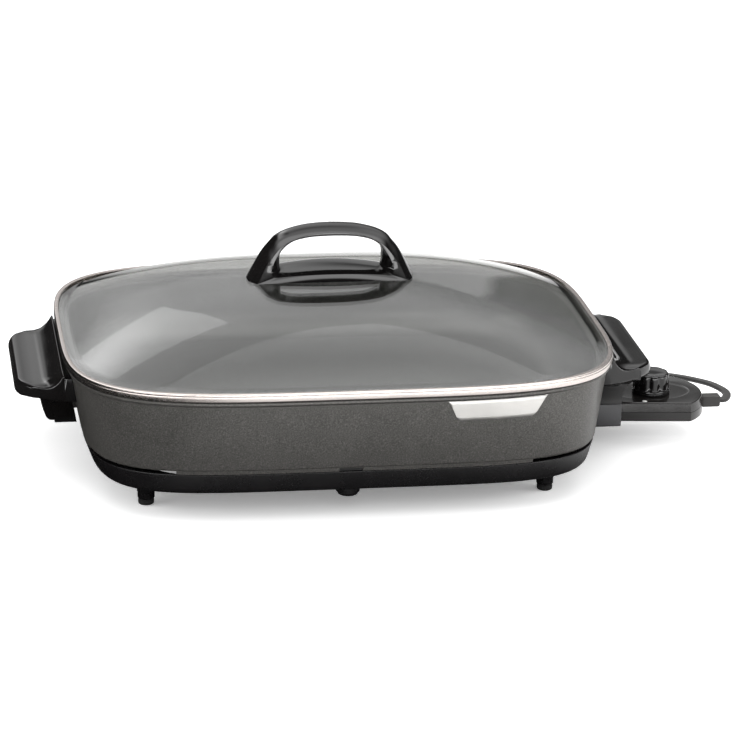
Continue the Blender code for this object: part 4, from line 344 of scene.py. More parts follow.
# The knob's top: shares of its radius, of its flutes' depth and of its wall below its top.
KNOB_TOP_SHARES = ((0.955, 0.9, 0.30), (0.92, 0.6, 0.10), (0.87, 0.3, 0.0), (0.80, 0.0, 0.06),
                   (0.74, 0.0, 0.28), (0.30, 0.0, 0.40), (0.02, 0.0, 0.42))
# The plug's sides: its length in edge widths, then shares of its width and thickness.
PLUG_SHARES = ((0.0, 0.80, 0.74), (0.5, 0.90, 0.84), (1.2, 0.97, 0.94), (2.2, 1.0, 1.0),
               (4.0, 0.985, 0.93), (6.0, 0.985, 0.90), (8.0, 0.985, 0.93), (10.0, 1.0, 1.0))
PLUG_RIB_SHARES = ((0.0, 1.0), (0.45, 1.0), (0.5, 0.88), (0.8, 0.88), (0.85, 1.0))
# The plug's end: shares of its edge, back from the end and off its width and thickness.
PLUG_END_SHARES = ((1.0, 0.0), (0.25, 0.5), (0.0, 1.0))
# The strain relief: where it starts (0) or ends (1), so many gaps on, and a share of its size.
RELIEF_SHARES = ((0, -3, 0.90), (0, 1, 0.90), (0, 2, 0.97), (0, 4, 1.0), (1, -5, 1.0),
                 (1, -2, 0.97), (1, -1, 0.90), (1, 0, 0.86))
# The tie: shares of its width and of its thickness.
TIE_SHARES = ((-0.5, 0.0), (0.5, 0.0), (0.5, 0.7), (0.42, 1.0), (-0.42, 1.0), (-0.5, 0.7))
# The dished top of the heat control: shares of its size and of its depth.
DISH_SHARES = ((1.0, 0.0), (0.985, 0.55), (0.95, 0.9), (0.90, 1.0))
# The glass's edge: shares of a sixth of its thickness, inwards and from its upper or lower face.
GLASS_EDGE_SHARES = ((1.0, 0.0), (1 / 3, 1 / 3), (0.0, 1.0))
# The cross section of a side handle: shares of its reach from the wall and of its height.
GRIP_SECTION_SHARES = (
    (0.00, 0.86), (0.00, 0.97), (0.03, 1.00), (0.06, 0.97), (0.12, 0.865), (0.19, 0.77),
    (0.26, 0.70), (0.33, 0.64), (0.40, 0.595), (0.47, 0.568), (0.60, 0.545), (0.74, 0.545),
    (0.86, 0.555), (0.92, 0.54), (0.97, 0.47), (1.00, 0.34), (1.00, 0.20), (0.98, 0.10),
    (0.93, 0.06), (0.74, 0.05), (0.47, 0.01), (0.00, 0.00),
)
HANGER_LEVEL_SHARES = (
    (0.00, 0.00, 0.00), (0.19, 0.03, 0.00), (0.42, 0.17, 0.05), (0.56, 0.34, 0.12),
    (0.70, 0.55, 0.26), (0.84, 0.74, 0.48), (0.96, 0.92, 0.80), (1.06, 1.00, 1.00),
    (1.30, 1.00, 1.00),
)
APRON_SECTION_SHARES = (
    (0.10, 0.01), (0.22, 0.01), (0.276, 0.04), (0.33, 0.13), (0.38, 0.32), (0.407, 0.45),
    (0.43, 0.58), (0.47, 0.80), (0.53, 1.04), (0.44, 1.30), (0.10, 1.30),
)
# The lid handle seen from the front, from its foot to its top: shares of its half length and
# height. Its outline at the middle and on its faces, then its opening at the same two places.
ARCH_CROWN_SHARES = (
    (0.992, 0.00), (0.925, 0.20), (0.859, 0.39), (0.797, 0.54), (0.733, 0.657), (0.657, 0.784),
    (0.530, 0.884), (0.341, 0.96), (0.17, 0.99), (0.0, 1.00),
)
ARCH_FACE_SHARES = (
    (0.884, 0.00), (0.840, 0.15), (0.797, 0.281), (0.752, 0.39), (0.702, 0.487), (0.610, 0.64),
    (0.490, 0.752), (0.330, 0.835), (0.165, 0.872), (0.0, 0.884),
)
ARCH_MOUTH_SHARES = (
    (0.704, 0.110), (0.728, 0.19), (0.716, 0.28), (0.690, 0.38), (0.650, 0.48), (0.574, 0.63),
    (0.462, 0.745), (0.300, 0.805), (0.150, 0.823), (0.0, 0.828),
)
ARCH_THROAT_SHARES = (
    (0.595, 0.185), (0.606, 0.25), (0.608, 0.33), (0.606, 0.43), (0.595, 0.52), (0.545, 0.65),
    (0.430, 0.745), (0.280, 0.795), (0.140, 0.810), (0.0, 0.815),
)


def link(item):
    """Puts an object into the scene."""
    bpy.context.scene.collection.objects.link(item)
    return item


def mix(low, high, share):
    return low + (high - low) * share


def superellipse_point(half_length, half_depth, power, angle):
    """One point of a rounded rectangle."""
    cosine, sine = cos(angle), sin(angle)
    return (half_length * copysign(abs(cosine) ** (2 / power), cosine),
            half_depth * copysign(abs(sine) ** (2 / power), sine))


def superellipse(half_length, half_depth, power, points=RING_POINTS):
    """A rounded rectangle as one smooth curve, counter-clockwise from +X."""
    return [superellipse_point(half_length, half_depth, power, FULL_TURN * index / points)
            for index in range(points)]


def flat_ring(outline, height):
    return [(x, y, height) for x, y in outline]


def rounded(corners, steps=8):
    """A closed outline of (x, y, radius) corners, each rounded by an arc of its radius."""
    outline = []
    for index, (x, y, radius) in enumerate(corners):
        corner = Vector((x, y))
        before = (Vector(corners[index - 1][:2]) - corner).normalized()
        after = (Vector(corners[(index + 1) % len(corners)][:2]) - corner).normalized()
        half_angle = before.angle(after) / 2
        if radius == 0 or half_angle > radians(88):
            outline.append((x, y))
            continue
        middle = corner + (before + after).normalized() * (radius / sin(half_angle))
        start = corner + before * (radius / tan(half_angle)) - middle
        end = corner + after * (radius / tan(half_angle)) - middle
        sweep = start.angle_signed(end)
        for step in range(steps + 1):
            angle = -sweep * step / steps
            turned_x = start.x * cos(angle) - start.y * sin(angle)
            turned_y = start.x * sin(angle) + start.y * cos(angle)
            outline.append((middle.x + turned_x, middle.y + turned_y))
    return outline


def smooth_line(knots, steps):
    """A smooth curve through knots of any dimension, with so many steps between two of them."""
    knots = [Vector(knot) for knot in knots]
    line = []
    for index in range(len(knots) - 1):
        start, end = knots[index], knots[index + 1]
        before = knots[index - 1] if index else 2 * start - end
        after = knots[index + 2] if index + 2 < len(knots) else 2 * end - start
        for step in range(steps):
            t = step / steps
            line.append(0.5 * (2 * start + (end - before) * t
                               + (2 * before - 5 * start + 4 * end - after) * t * t
                               + (3 * start - before - 3 * end + after) * t ** 3))
    line.append(knots[-1])
    return line


def finish_mesh(shape, name):
    """Turns the faces of a bmesh outwards and stores it as a mesh."""
    bmesh.ops.recalc_face_normals(shape, faces=shape.faces)
    mesh = bpy.data.meshes.new(name)
    shape.to_mesh(mesh)
    shape.free()
    return mesh


def loft_mesh(name, rings, closed=False):
    """Skins equal rings of points. The last ring joins the first, or flat caps close both ends."""
    shape = bmesh.new()
    rows = [[shape.verts.new(point) for point in ring] for ring in rings]
    pairs = list(zip(rows, rows[1:]))
    if closed:
        pairs.append((rows[-1], rows[0]))
    for low, high in pairs:
        for index, corner in enumerate(low):
            after = (index + 1) % len(low)
            shape.faces.new((corner, low[after], high[after], high[index]))
    if not closed:
        shape.faces.new(rows[0])
        shape.faces.new(rows[-1])
    return finish_mesh(shape, name)


def prism_mesh(name, outline, axis, low, high):
    """An outline pushed along X, Y or Z, from low to high."""
    at = "xyz".index(axis)
    return loft_mesh(name, [[(*point[:at], place, *point[at:]) for point in outline]
                            for place in (low, high)])


def box_mesh(name, corner, other):
    """A box between two opposite corners."""
    (x0, x1), (y0, y1), (z0, z1) = (sorted(pair) for pair in zip(corner, other))
    return prism_mesh(name, [(x0, y0), (x1, y0), (x1, y1), (x0, y1)], "z", z0, z1)


def rod_mesh(name, radius, start, end, points=48):
    """A plain cylinder between two points."""
    start, end = Vector(start), Vector(end)
    turn = (end - start).to_track_quat("Z", "Y").to_matrix()
    circle = superellipse(radius, radius, 2, points)
    return loft_mesh(name, [[place + turn @ Vector((x, y, 0)) for x, y in circle]
                            for place in (start, end)])


def turned_mesh(name, profile, points=48):
    """A profile of (radius, height) turned about Z. A radius of 0 is a very small one."""
    rings = []
    for radius, height in profile:
        radius = max(radius, GAP / 10)
        rings.append(flat_ring(superellipse(radius, radius, 2, points), height))
    return loft_mesh(name, rings)


def shaped(mesh, *steps):
    """Cuts, joins and bevels a mesh. A step is an operation's name with a mesh or with sizes."""
    item = link(bpy.data.objects.new("shaping", mesh))
    others = []
    for action, value in steps:
        if action == "BEVEL":
            width, segments, angle = value
            bevel = item.modifiers.new("edges", "BEVEL")
            bevel.width = width
            bevel.segments = segments
            bevel.limit_method = "ANGLE"
            bevel.angle_limit = radians(angle)
        else:
            other = link(bpy.data.objects.new("cutter", value))
            boolean = item.modifiers.new("boolean", "BOOLEAN")
            boolean.operation = action
            boolean.solver = "EXACT"
            boolean.object = other
            others.append(other)
    bpy.context.view_layer.update()
    finished = bpy.data.meshes.new_from_object(
        item.evaluated_get(bpy.context.evaluated_depsgraph_get()))
    for old in [item] + others:
        bpy.data.objects.remove(old)
    return finished


def piece(name, mesh, slot, body="skillet", replaces=(), place=(0, 0, 0), angle=32, look=None):
    """A finished piece of the skillet. Its places are in the pan's frame."""
    item = link(bpy.data.objects.new(name, mesh))
    mesh.materials.clear()
    mesh.materials.append(LOOKS[look or slot])
    mesh.shade_smooth()
    mesh.set_sharp_from_angle(angle=radians(angle))
    item.location = (PAN_X + place[0], place[1], place[2])
    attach(item, body)
    if replaces:
        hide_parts(*replaces)
    return item


class Nodes:
    """Adds nodes to a tree, with inputs given as values or links."""

    def __init__(self, tree):
        self.tree = tree

    def add(self, kind, inputs=(), **settings):
        """Adds a node, with settings, and inputs given by name as values or links."""
        node = self.tree.nodes.new(kind)
        for key, value in settings.items():
            setattr(node, key, value)
        for key, value in dict(inputs).items():
            self.put(node.inputs[key], value)
        return node

    def put(self, socket, value):
        if isinstance(value, bpy.types.NodeSocket):
            self.tree.links.new(value, socket)
        else:
            socket.default_value = value

    def math(self, operation, *values):
        """The result of a Math node."""
        return self.add("ShaderNodeMath", dict(enumerate(values)), operation=operation).outputs[0]

    def span(self, value, low, high, start=0.0, end=1.0, kind="LINEAR"):
        """Goes from start to end while a value goes from low to high."""
        return self.add("ShaderNodeMapRange", {"Value": value, "From Min": low, "From Max": high,
                                               "To Min": start, "To Max": end},
                        interpolation_type=kind).outputs["Result"]

    def step(self, *values):
        """The same as span, with soft ends."""
        return self.span(*values, kind="SMOOTHSTEP")

    def product(self, *factors):
        result = factors[0]
        for factor in factors[1:]:
            result = self.math("MULTIPLY", result, factor)
        return result

    def blend(self, share, off, on):
        """From off to on by a share."""
        return self.math("MULTIPLY_ADD", share, self.math("SUBTRACT", on, off), off)

    def axes(self, vector):
        return self.add("ShaderNodeSeparateXYZ", {"Vector": vector}).outputs


class Graph(Nodes):
    """The nodes of one material, with its texture places taken from the object in metres."""

    def __init__(self, name):
        self.material = bpy.data.materials.new(name)
        self.material.use_nodes = True
        super().__init__(self.material.node_tree)
        self.shader = self.tree.nodes["Principled BSDF"]
        self.output = self.tree.nodes["Material Output"]
        self.place = self.add("ShaderNodeTexCoord").outputs["Object"]

    def set(self, **inputs):
        """Sets the main shader's inputs, named with _ for a space."""
        for key, value in inputs.items():
            self.put(self.shader.inputs[key.replace("_", " ")], value)

    def noise(self, scale, detail=2.0, roughness=0.5, stretch=None):
        """A noise value at so many features a metre, stretched by an axis scale if given."""
        place = self.place
        if stretch:
            place = self.add("ShaderNodeVectorMath", operation="MULTIPLY",
                             inputs={0: place, 1: stretch}).outputs[0]
        return self.add("ShaderNodeTexNoise", {"Vector": place, "Scale": scale, "Detail": detail,
                                               "Roughness": roughness}).outputs["Fac"]

    def ramp(self, value, *stops):
        """A colour from a value, by stops of (position, colour)."""
        node = self.add("ShaderNodeValToRGB", {"Fac": value})
        ramp = node.color_ramp
        while len(ramp.elements) < len(stops):
            ramp.elements.new(0.5)
        for element, (position, colour) in zip(ramp.elements, stops):
            element.position = position
            element.color = (*colour, 1.0)
        return node.outputs["Color"]

    def bump(self, height, distance, strength):
        return self.add("ShaderNodeBump", {"Height": height, "Distance": distance,
                                           "Strength": strength}).outputs["Normal"]


def shade(colour, factor):
    return tuple(min(1.0, channel * factor) for channel in colour)


def make_coating(name, colour, roughness, sparkle):
    """A dark coating over cast metal: fine bright flecks, soft mottling and a grainy surface."""
    graph = Graph(name)
    flecks = graph.noise(1050, 2.5, 0.6)
    mottle = graph.noise(55, 3.0)
    base = graph.ramp(flecks, (0.32, shade(colour, 0.66)), (0.50, colour),
                      (0.60, shade(colour, 1.0 + sparkle)),
                      (0.70, shade(colour, 1.0 + 3.2 * sparkle)))
    tint = graph.ramp(mottle, (0.30, (0.93, 0.93, 0.93)), (0.70, (1.0, 1.0, 1.0)))
    graph.set(Base_Color=graph.add("ShaderNodeMix", data_type="RGBA", blend_type="MULTIPLY",
                                   inputs={"Factor": 1.0, 6: base, 7: tint}).outputs[2],
              Metallic=0.45, Normal=graph.bump(flecks, 0.00004, 0.5),
              Roughness=graph.span(mottle, 0.3, 0.7, roughness - 0.03, roughness + 0.05))
    return graph.material


def make_moulding(name, colour, roughness, grain=0.00001, scale=900):
    """Moulded plastic or phenolic: a faint flow pattern, fine grain and light handling marks."""
    graph = Graph(name)
    cloud = graph.noise(28, 4.0, 0.6)
    marks = graph.noise(260, 3.0, 0.6, (1.0, 0.35, 1.0))
    base = graph.ramp(cloud, (0.30, shade(colour, 0.82)), (0.70, shade(colour, 1.22)))
    smear = graph.math("MULTIPLY_ADD", marks, 0.06,
                       graph.span(cloud, 0.3, 0.7, roughness - 0.05, roughness + 0.02))
    graph.set(Base_Color=base, Roughness=smear,
              Normal=graph.bump(graph.noise(scale, 2.0), grain, 0.6))
    return graph.material


def make_steel(name, colour, roughness, stretch, depth=0.000012):
    """Polished or brushed metal, with fine lines along one direction and faint staining."""
    graph = Graph(name)
    lines = graph.noise(900, 3.0, 0.7, stretch)
    stain = graph.noise(35, 3.0)
    graph.set(Base_Color=graph.ramp(stain, (0.30, shade(colour, 0.90)), (0.70, colour)),
              Metallic=1.0, Normal=graph.bump(lines, depth, 0.5),
              Roughness=graph.span(lines, 0.3, 0.7, roughness - 0.07, roughness + 0.09))
    return graph.material


def make_glass():
    """Clear tempered glass, grey-green through its thickness, with a trace of dust and smears."""
    graph = Graph("tempered_glass")
    smear = graph.noise(18, 4.0, 0.6)
    facing = graph.add("ShaderNodeLayerWeight", {"Blend": 0.35}).outputs["Facing"]
    tint = graph.math("ADD", facing, graph.span(smear, 0.0, 1.0, -0.02, 0.02))
    graph.set(Base_Color=graph.ramp(tint, (0.52, (0.93, 0.94, 0.935)), (0.70, (0.38, 0.38, 0.345))),
              Roughness=graph.span(smear, 0.35, 0.75, 0.0, 0.025), IOR=1.52,
              Transmission_Weight=1.0)
    clear = graph.add("ShaderNodeBsdfTransparent", {"Color": (0.52, 0.54, 0.53, 1.0)})
    rays = graph.add("ShaderNodeLightPath").outputs
    soft = graph.math("MAXIMUM", rays["Is Shadow Ray"], rays["Is Diffuse Ray"])
    mixed = graph.add("ShaderNodeMixShader", {0: soft, 1: graph.shader.outputs["BSDF"],
                                              2: clear.outputs["BSDF"]})
    graph.put(graph.output.inputs["Surface"], mixed.outputs["Shader"])
    return graph.material


def make_camera():
    """The photograph's camera, placed by fitted angles."""
    data = bpy.data.cameras.new("camera")
    data.sensor_width = SENSOR_WIDTH
    data.lens = FOCAL_PIXELS / IMAGE_PIXELS * SENSOR_WIDTH
    camera = link(bpy.data.objects.new("camera", data))
    forward = Vector((sin(CAMERA_YAW) * cos(CAMERA_PITCH),
                      cos(CAMERA_YAW) * cos(CAMERA_PITCH), -sin(CAMERA_PITCH)))
    level = Vector((cos(CAMERA_YAW), -sin(CAMERA_YAW), 0))
    right = level * cos(CAMERA_ROLL) + level.cross(forward) * sin(CAMERA_ROLL)
    up = right.cross(forward)
    turn = Matrix((right, up, -forward)).transposed().to_4x4()
    turn.translation = Vector(CAMERA_PLACE) + Vector((PAN_X, 0, 0))
    camera.matrix_world = turn
    bpy.context.scene.camera = camera


def make_world():
    """White behind and under the skillet; to gloss, a room with soft panels and dark gaps."""
    world = bpy.data.worlds.new("studio")
    bpy.context.scene.world = world
    world.use_nodes = True
    graph = Nodes(world.node_tree)
    rays = graph.add("ShaderNodeLightPath").outputs
    across, back, up = graph.axes(graph.add("ShaderNodeTexCoord").outputs["Generated"])
    parts = {"across": across, "back": back, "up": up, "edge": graph.step(across, *EDGE_STEP),
             "slant": graph.math("ADD", graph.math("ADD", across, SLANT_SHIFT), up)}
    room = ROOM_GLOW
    for steps in ROOM_PANELS.values():
        panel = graph.product(*(graph.step(*(parts.get(value, value) for value in step))
                                for step in steps))
        room = graph.math("ADD", panel, room)
    strength = graph.blend(rays["Is Glossy Ray"], WORLD_LIGHT, room)
    seen = graph.math("MAXIMUM", rays["Is Camera Ray"], rays["Is Transmission Ray"])
    shown = world.node_tree.nodes["Background"]
    graph.put(shown.inputs["Strength"], graph.blend(seen, strength, 1.0))
    shown.inputs["Color"].default_value = (1.0, 1.0, 1.0, 1.0)


def make_floor():
    """A white floor that keeps the skillet's shadow. To gloss it has painted shade near by and on
    the left, painted light on the right and a painted glow far in front. It is painted dark under
    the skillet, and to the camera the shadows at the skillet's ends are painted paler."""
    shape = bmesh.new()
    bmesh.ops.create_grid(shape, x_segments=1, y_segments=1, size=FLOOR_SIZE)
    floor = link(bpy.data.objects.new("studio_floor", finish_mesh(shape, "studio_floor")))
    graph = Graph("pale_floor")
    rays = graph.add("ShaderNodeLightPath").outputs
    glossy, camera = rays["Is Glossy Ray"], rays["Is Camera Ray"]
    x, y, _ = graph.axes(graph.place)
    squeezed = graph.add("ShaderNodeVectorMath", {0: graph.place, 1: FLOOR_SQUEEZE},
                         operation="MULTIPLY").outputs[0]
    reach = graph.add("ShaderNodeVectorMath", {0: squeezed}, operation="LENGTH").outputs["Value"]
    # Painted shade and light seen in gloss: darker near the skillet and on the left, brighter on
    # the right.
    gloss = graph.product(graph.step(reach, *FLOOR_PAINTED_NEAR_SHADE_STEP), graph.step(x, *FLOOR_PAINTED_LEFT_SHADE_STEP))
    gloss = graph.math("MAXIMUM", gloss, graph.step(x, *FLOOR_PAINTED_RIGHT_LIGHT_STEP))
    gain = graph.math("MULTIPLY_ADD", camera, FLOOR_GAIN - 1.0, 1.0)
    # Painted shade under the skillet: the floor's colour and its lift drop there.
    painted_under_shade = graph.step(reach, *FLOOR_PAINTED_UNDER_SHADE_STEP)
    value = graph.product(graph.product(graph.blend(glossy, 1.0, gloss), gain),
                          graph.product(painted_under_shade, FLOOR_COLOUR))
    colour = graph.add("ShaderNodeCombineColor", {"Red": value, "Green": value, "Blue": value})
    diffuse = graph.add("ShaderNodeBsdfDiffuse", {"Color": colour.outputs["Color"]})
    # Painted light: to the camera the shadows at the skillet's ends are made paler.
    side = graph.step(graph.math("ABSOLUTE", x), *PAINTED_SIDE_LIGHT_STEP)
    lift_and_painted_light = graph.math("MULTIPLY_ADD", camera, side, graph.product(camera, FLOOR_LIFT, painted_under_shade))
    # Painted glow: far in front the floor glows to gloss alone.
    lift_and_painted_glow = graph.math("ADD", lift_and_painted_light, graph.product(glossy, graph.step(y, *FLOOR_PAINTED_GLOW_STEP)))
    both = graph.add("ShaderNodeAddShader", {
        0: diffuse.outputs["BSDF"],
        1: graph.add("ShaderNodeEmission", {"Strength": lift_and_painted_glow}).outputs["Emission"]})
    graph.put(graph.output.inputs["Surface"], both.outputs["Shader"])
    floor.data.materials.append(graph.material)
    floor.location.z = -GAP


def make_studio():
    """The white room and its soft rectangular lamps, which gloss doesn't show."""
    make_world()
    make_floor()
    for name, place, size, power in LAMPS:
        data = bpy.data.lights.new(name, "AREA")
        data.shape = "RECTANGLE"
        data.size, data.size_y = size
        data.energy = power
        lamp = link(bpy.data.objects.new(name, data))
        lamp.location = place
        aim = Vector(LAMP_TARGET) - Vector(place)
        lamp.rotation_euler = aim.to_track_quat("-Z", "Y").to_euler()
        lamp.visible_glossy = False


def coil_points():
    """The put-away turns: in on the lower layer, up a layer where they reverse, and out again."""
    points = []
    for index in range(COIL_TURNS * COIL_STEPS + 1):
        travelled = index / COIL_STEPS
        inwards = min(travelled, COIL_TURNS - travelled)
        radius = COIL_RADIUS - COIL_PITCH * inwards
        climb = min(1, max(0, (travelled - COIL_TURNS / 2) / 0.5 + 0.5))
        climb = climb * climb * (3 - 2 * climb)
        angle = -FULL_TURN / 4 - FULL_TURN * travelled
        points.append((COIL_X + radius * cos(angle), COIL_Y + radius * sin(angle),
                       mix(CORD_HEIGHT, UPPER_CORD_HEIGHT, climb)))
    points.append((COIL_X - COIL_TAIL / 2, COIL_FRONT_Y, UPPER_CORD_HEIGHT))
    points.append((COIL_X - COIL_TAIL, COIL_FRONT_Y, UPPER_CORD_HEIGHT))
    return points


def cord_path():
    """The cord's centre line, from the strain relief to the plug."""
    outlet = (RELIEF_END_X + GAP, 0, RELIEF_AXIS)
    run_in = (COIL_X + CORD_WIDTH * 3 + GAP, COIL_FRONT_Y, CORD_HEIGHT)
    start = (COIL_X + CORD_WIDTH, COIL_FRONT_Y, CORD_HEIGHT)
    free = smooth_line((outlet,) + CORD_ROUTE + (run_in, start), 5)
    return free + [Vector(point) for point in coil_points()]


def twin_section(points=28):
    """Across the flat twin cord: two round cores with a shallow valley between them."""
    half_width = CORD_WIDTH / 2 - GAP / 2
    section = []
    for x, z in superellipse(half_width, CORD_THICKNESS / 2, 2.5, points):
        valley = VALLEY_DEPTH_SHARE * exp(-(x / (half_width * VALLEY_WIDTH_SHARE)) ** 2)
        section.append((x, z * (1 - valley)))
    return section


def swept_mesh(name, path, section):
    """A section swept along a path, with its own X kept level."""
    rings = []
    for index, point in enumerate(path):
        ahead = path[min(index + 1, len(path) - 1)]
        along = (ahead - path[max(index - 1, 0)]).normalized()
        side = along.cross(Vector((0, 0, 1))).normalized()
        up = side.cross(along)
        rings.append([point + side * x + up * z for x, z in section])
    return loft_mesh(name, rings)


def make_cord():
    """The flat twin cord, swept along its path with its broad side level."""
    path = cord_path()
    cord = piece("flat_cord", swept_mesh("flat_cord", path, twin_section()), "cord_jacket",
                 "heat_control", ("cord", "cord_coil"))
    return cord, [point + Vector((PAN_X, 0, 0)) for point in path]


def plug_ring(x, width, height):
    """A rounded rectangle square to X, centred on the line that the plug lies along."""
    return [(x, COIL_FRONT_Y + across, UPPER_CORD_HEIGHT + up)
            for across, up in superellipse(width / 2, height / 2, 3.4, 48)]


def make_plug():
    """The moulded plug, with a ribbed neck and a shallow grip on its broad faces."""
    start = COIL_X - COIL_TAIL - GAP
    body = start - PLUG_NECK_LENGTH
    end = body - PLUG_LENGTH
    thick = 2 * UPPER_CORD_HEIGHT
    neck = CORD_WIDTH + 2 * PLUG_EDGE
    cut = neck * PLUG_NECK_END_SHARE
    rings = [plug_ring(start, cut, cut), plug_ring(start - GAP, neck, neck)]
    for rib in range(PLUG_RIBS):
        share = rib / PLUG_RIBS
        place = mix(start - PLUG_EDGE, body + PLUG_EDGE, share)
        wide = mix(neck, PLUG_NECK_WIDTH + PLUG_EDGE, share)
        rings += [plug_ring(place - PLUG_EDGE * PLUG_RIB_STEP * step, wide * size,
                            (neck + PLUG_EDGE * share) * size) for step, size in PLUG_RIB_SHARES]
    rings += [plug_ring(body - PLUG_EDGE * x, PLUG_WIDTH * width, thick * height)
              for x, width, height in PLUG_SHARES]
    rings += [plug_ring(end + PLUG_EDGE * back, PLUG_WIDTH - PLUG_EDGE * drop,
                        thick - PLUG_EDGE * drop) for back, drop in PLUG_END_SHARES]
    return piece("moulded_plug", loft_mesh("moulded_plug", rings), "cord_jacket", "heat_control",
                 ("plug_body",))


def make_tie():
    """A strap round every turn at the back of the coil."""
    inner = COIL_RADIUS - COIL_PITCH * COIL_TURNS / 2 - CORD_WIDTH / 2 - GAP
    outer = COIL_RADIUS - COIL_PITCH / 2 + CORD_WIDTH / 2 + GAP
    low, high = CORD_HEIGHT - CORD_WIDTH / 2 - GAP, UPPER_CORD_HEIGHT + CORD_WIDTH / 2 + GAP
    corner = CORD_WIDTH / 3
    rings = []
    for x, offset in TIE_SHARES:
        grow = TIE_SHEET * offset
        loop = rounded([(inner - grow, low - grow, corner), (outer + grow, low - grow, corner),
                        (outer + grow, high + grow, corner), (inner - grow, high + grow, corner)])
        rings.append([(COIL_X + x * TIE_WIDTH, COIL_Y + radius, height) for radius, height in loop])
    return piece("strap_tie", loft_mesh("strap_tie", rings, True), "grey_rubber", "heat_control",
                 ("cord_tie",))


def make_relief():
    """The strain relief: a block with cut corners that tapers over the cord at its end."""
    places = (KNOB_X + CONTROL_END_RADIUS, RELIEF_END_X)
    rings = []
    for end, gaps, size in RELIEF_SHARES:
        outline = superellipse(RELIEF_WIDTH / 2 * size, RELIEF_HEIGHT / 2 * size, 7, 48)
        rings.append([(places[end] + gaps * GAP, y, RELIEF_AXIS + z) for y, z in outline])
    return piece("relief_block", loft_mesh("relief_block", rings), "cord_jacket", "heat_control",
                 ("strain_relief",))


def wall_sizes(height):
    """Half the length, half the depth and the power of the pan's outside at a height."""
    share = min(1.0, (height - FOOT_HEIGHT) / (WALL_TOP_HEIGHT - FOOT_HEIGHT))
    return (mix(FOOT_LENGTH, WALL_TOP_LENGTH, share) / 2,
            mix(FOOT_DEPTH, WALL_TOP_DEPTH, share) / 2, mix(FOOT_POWER, RIM_POWER, share))


def pan_outline(height, inset=0.0):
    """The outside of the pan's wall at a height, drawn in by an inset."""
    half_length, half_depth, power = wall_sizes(height)
    return superellipse(half_length - inset, half_depth - inset, power)


def make_pan():
    """The cast pan, with rounded lip, ledge and floor, and the strip it stands on."""
    strip = STRIP_SETBACK + STRIP_THICKNESS
    ledge = LEDGE_SETBACK - LIP_OVERHANG
    ledge_height = LIP_TOP - LEDGE_DROP
    inner = ledge + LEDGE_WIDTH
    foot = WALL_THICKNESS + LEDGE_WIDTH
    fine = GAP * 2
    section = rounded([
        (FLOOR_INSET, UNDERSIDE, 0), (strip + fine, UNDERSIDE, 0), (strip, STRIP_BOTTOM, GAP),
        (STRIP_SETBACK, STRIP_BOTTOM, GAP), (STRIP_SETBACK, FOOT_HEIGHT, GAP),
        (0, FOOT_HEIGHT, fine), (0, WALL_TOP_HEIGHT, fine),
        (-LIP_OVERHANG, LIP_TOP - LIP_THICKNESS, fine), (-LIP_OVERHANG, LIP_TOP, 2 * fine),
        (ledge, LIP_TOP, fine), (ledge + GAP, ledge_height, fine),
        (inner, ledge_height - GAP, 2 * fine), (foot, FLOOR_TOP, INNER_FILLET),
        (FLOOR_INSET, FLOOR_TOP, 0)], 6)
    rings = [flat_ring(pan_outline(height, inset), height) for inset, height in section]
    low, high = STRIP_BOTTOM - OVERRUN, FOOT_HEIGHT - fine
    middle = UNDERSIDE + FLOOR_THICKNESS / 2
    steps = []
    for _, _, side_x, side_y in CORNERS:
        gap = box_mesh("gap", (side_x * CORNER_GAP_X, side_y * CORNER_GAP_Y, low),
                       (side_x * RIM_LENGTH / 2, side_y * RIM_DEPTH / 2, high))
        lug = box_mesh("lug", (side_x * (LUG_REACH - LUG_LENGTH),
                               side_y * LUG_Y - LUG_WIDTH / 2, LUG_BOTTOM),
                       (side_x * LUG_REACH, side_y * LUG_Y + LUG_WIDTH / 2,
                        LUG_BOTTOM + LUG_HEIGHT))
        place = (side_x * BOSS_X, side_y * BOSS_Y)
        boss = rod_mesh("boss", BOSS_RADIUS, (*place, FLANGE_TOP + GAP), (*place, middle))
        steps += [("DIFFERENCE", gap), ("UNION", lug), ("UNION", boss)]
    for side_y in (-1, 1):
        slot = box_mesh("slot", (SLOT_OFFSET - SLOT_WIDTH / 2, side_y * FOOT_DEPTH / 4, low),
                        (SLOT_OFFSET + SLOT_WIDTH / 2, side_y * RIM_DEPTH / 2, high))
        steps.append(("DIFFERENCE", slot))
    well = box_mesh("well", (WELL_END_X - WELL_LENGTH, -WELL_WIDTH / 2,
                             CONTROL_AXIS - WELL_WIDTH / 3),
                    (WELL_END_X, WELL_WIDTH / 2, middle))
    pan = shaped(loft_mesh("cast_pan", rings), *steps, ("UNION", well))
    piece("cast_pan", pan, "coated_aluminium", replaces=("pan",), angle=28)


def base_outline(height, inset=0.0):
    """The outside of the base at a height, from its upper edge to its lower edge."""
    share = (BASE_TOP - height) / (BASE_TOP - BASE_BOTTOM)
    length = mix(FOOT_LENGTH / 2 - BASE_TOP_INSET, BASE_LOW_LENGTH / 2, share) - inset
    depth = mix(FOOT_DEPTH / 2 - BASE_TOP_INSET, BASE_LOW_DEPTH / 2, share) - inset
    return superellipse(length, depth, mix(FOOT_POWER, BASE_LOW_POWER, share))


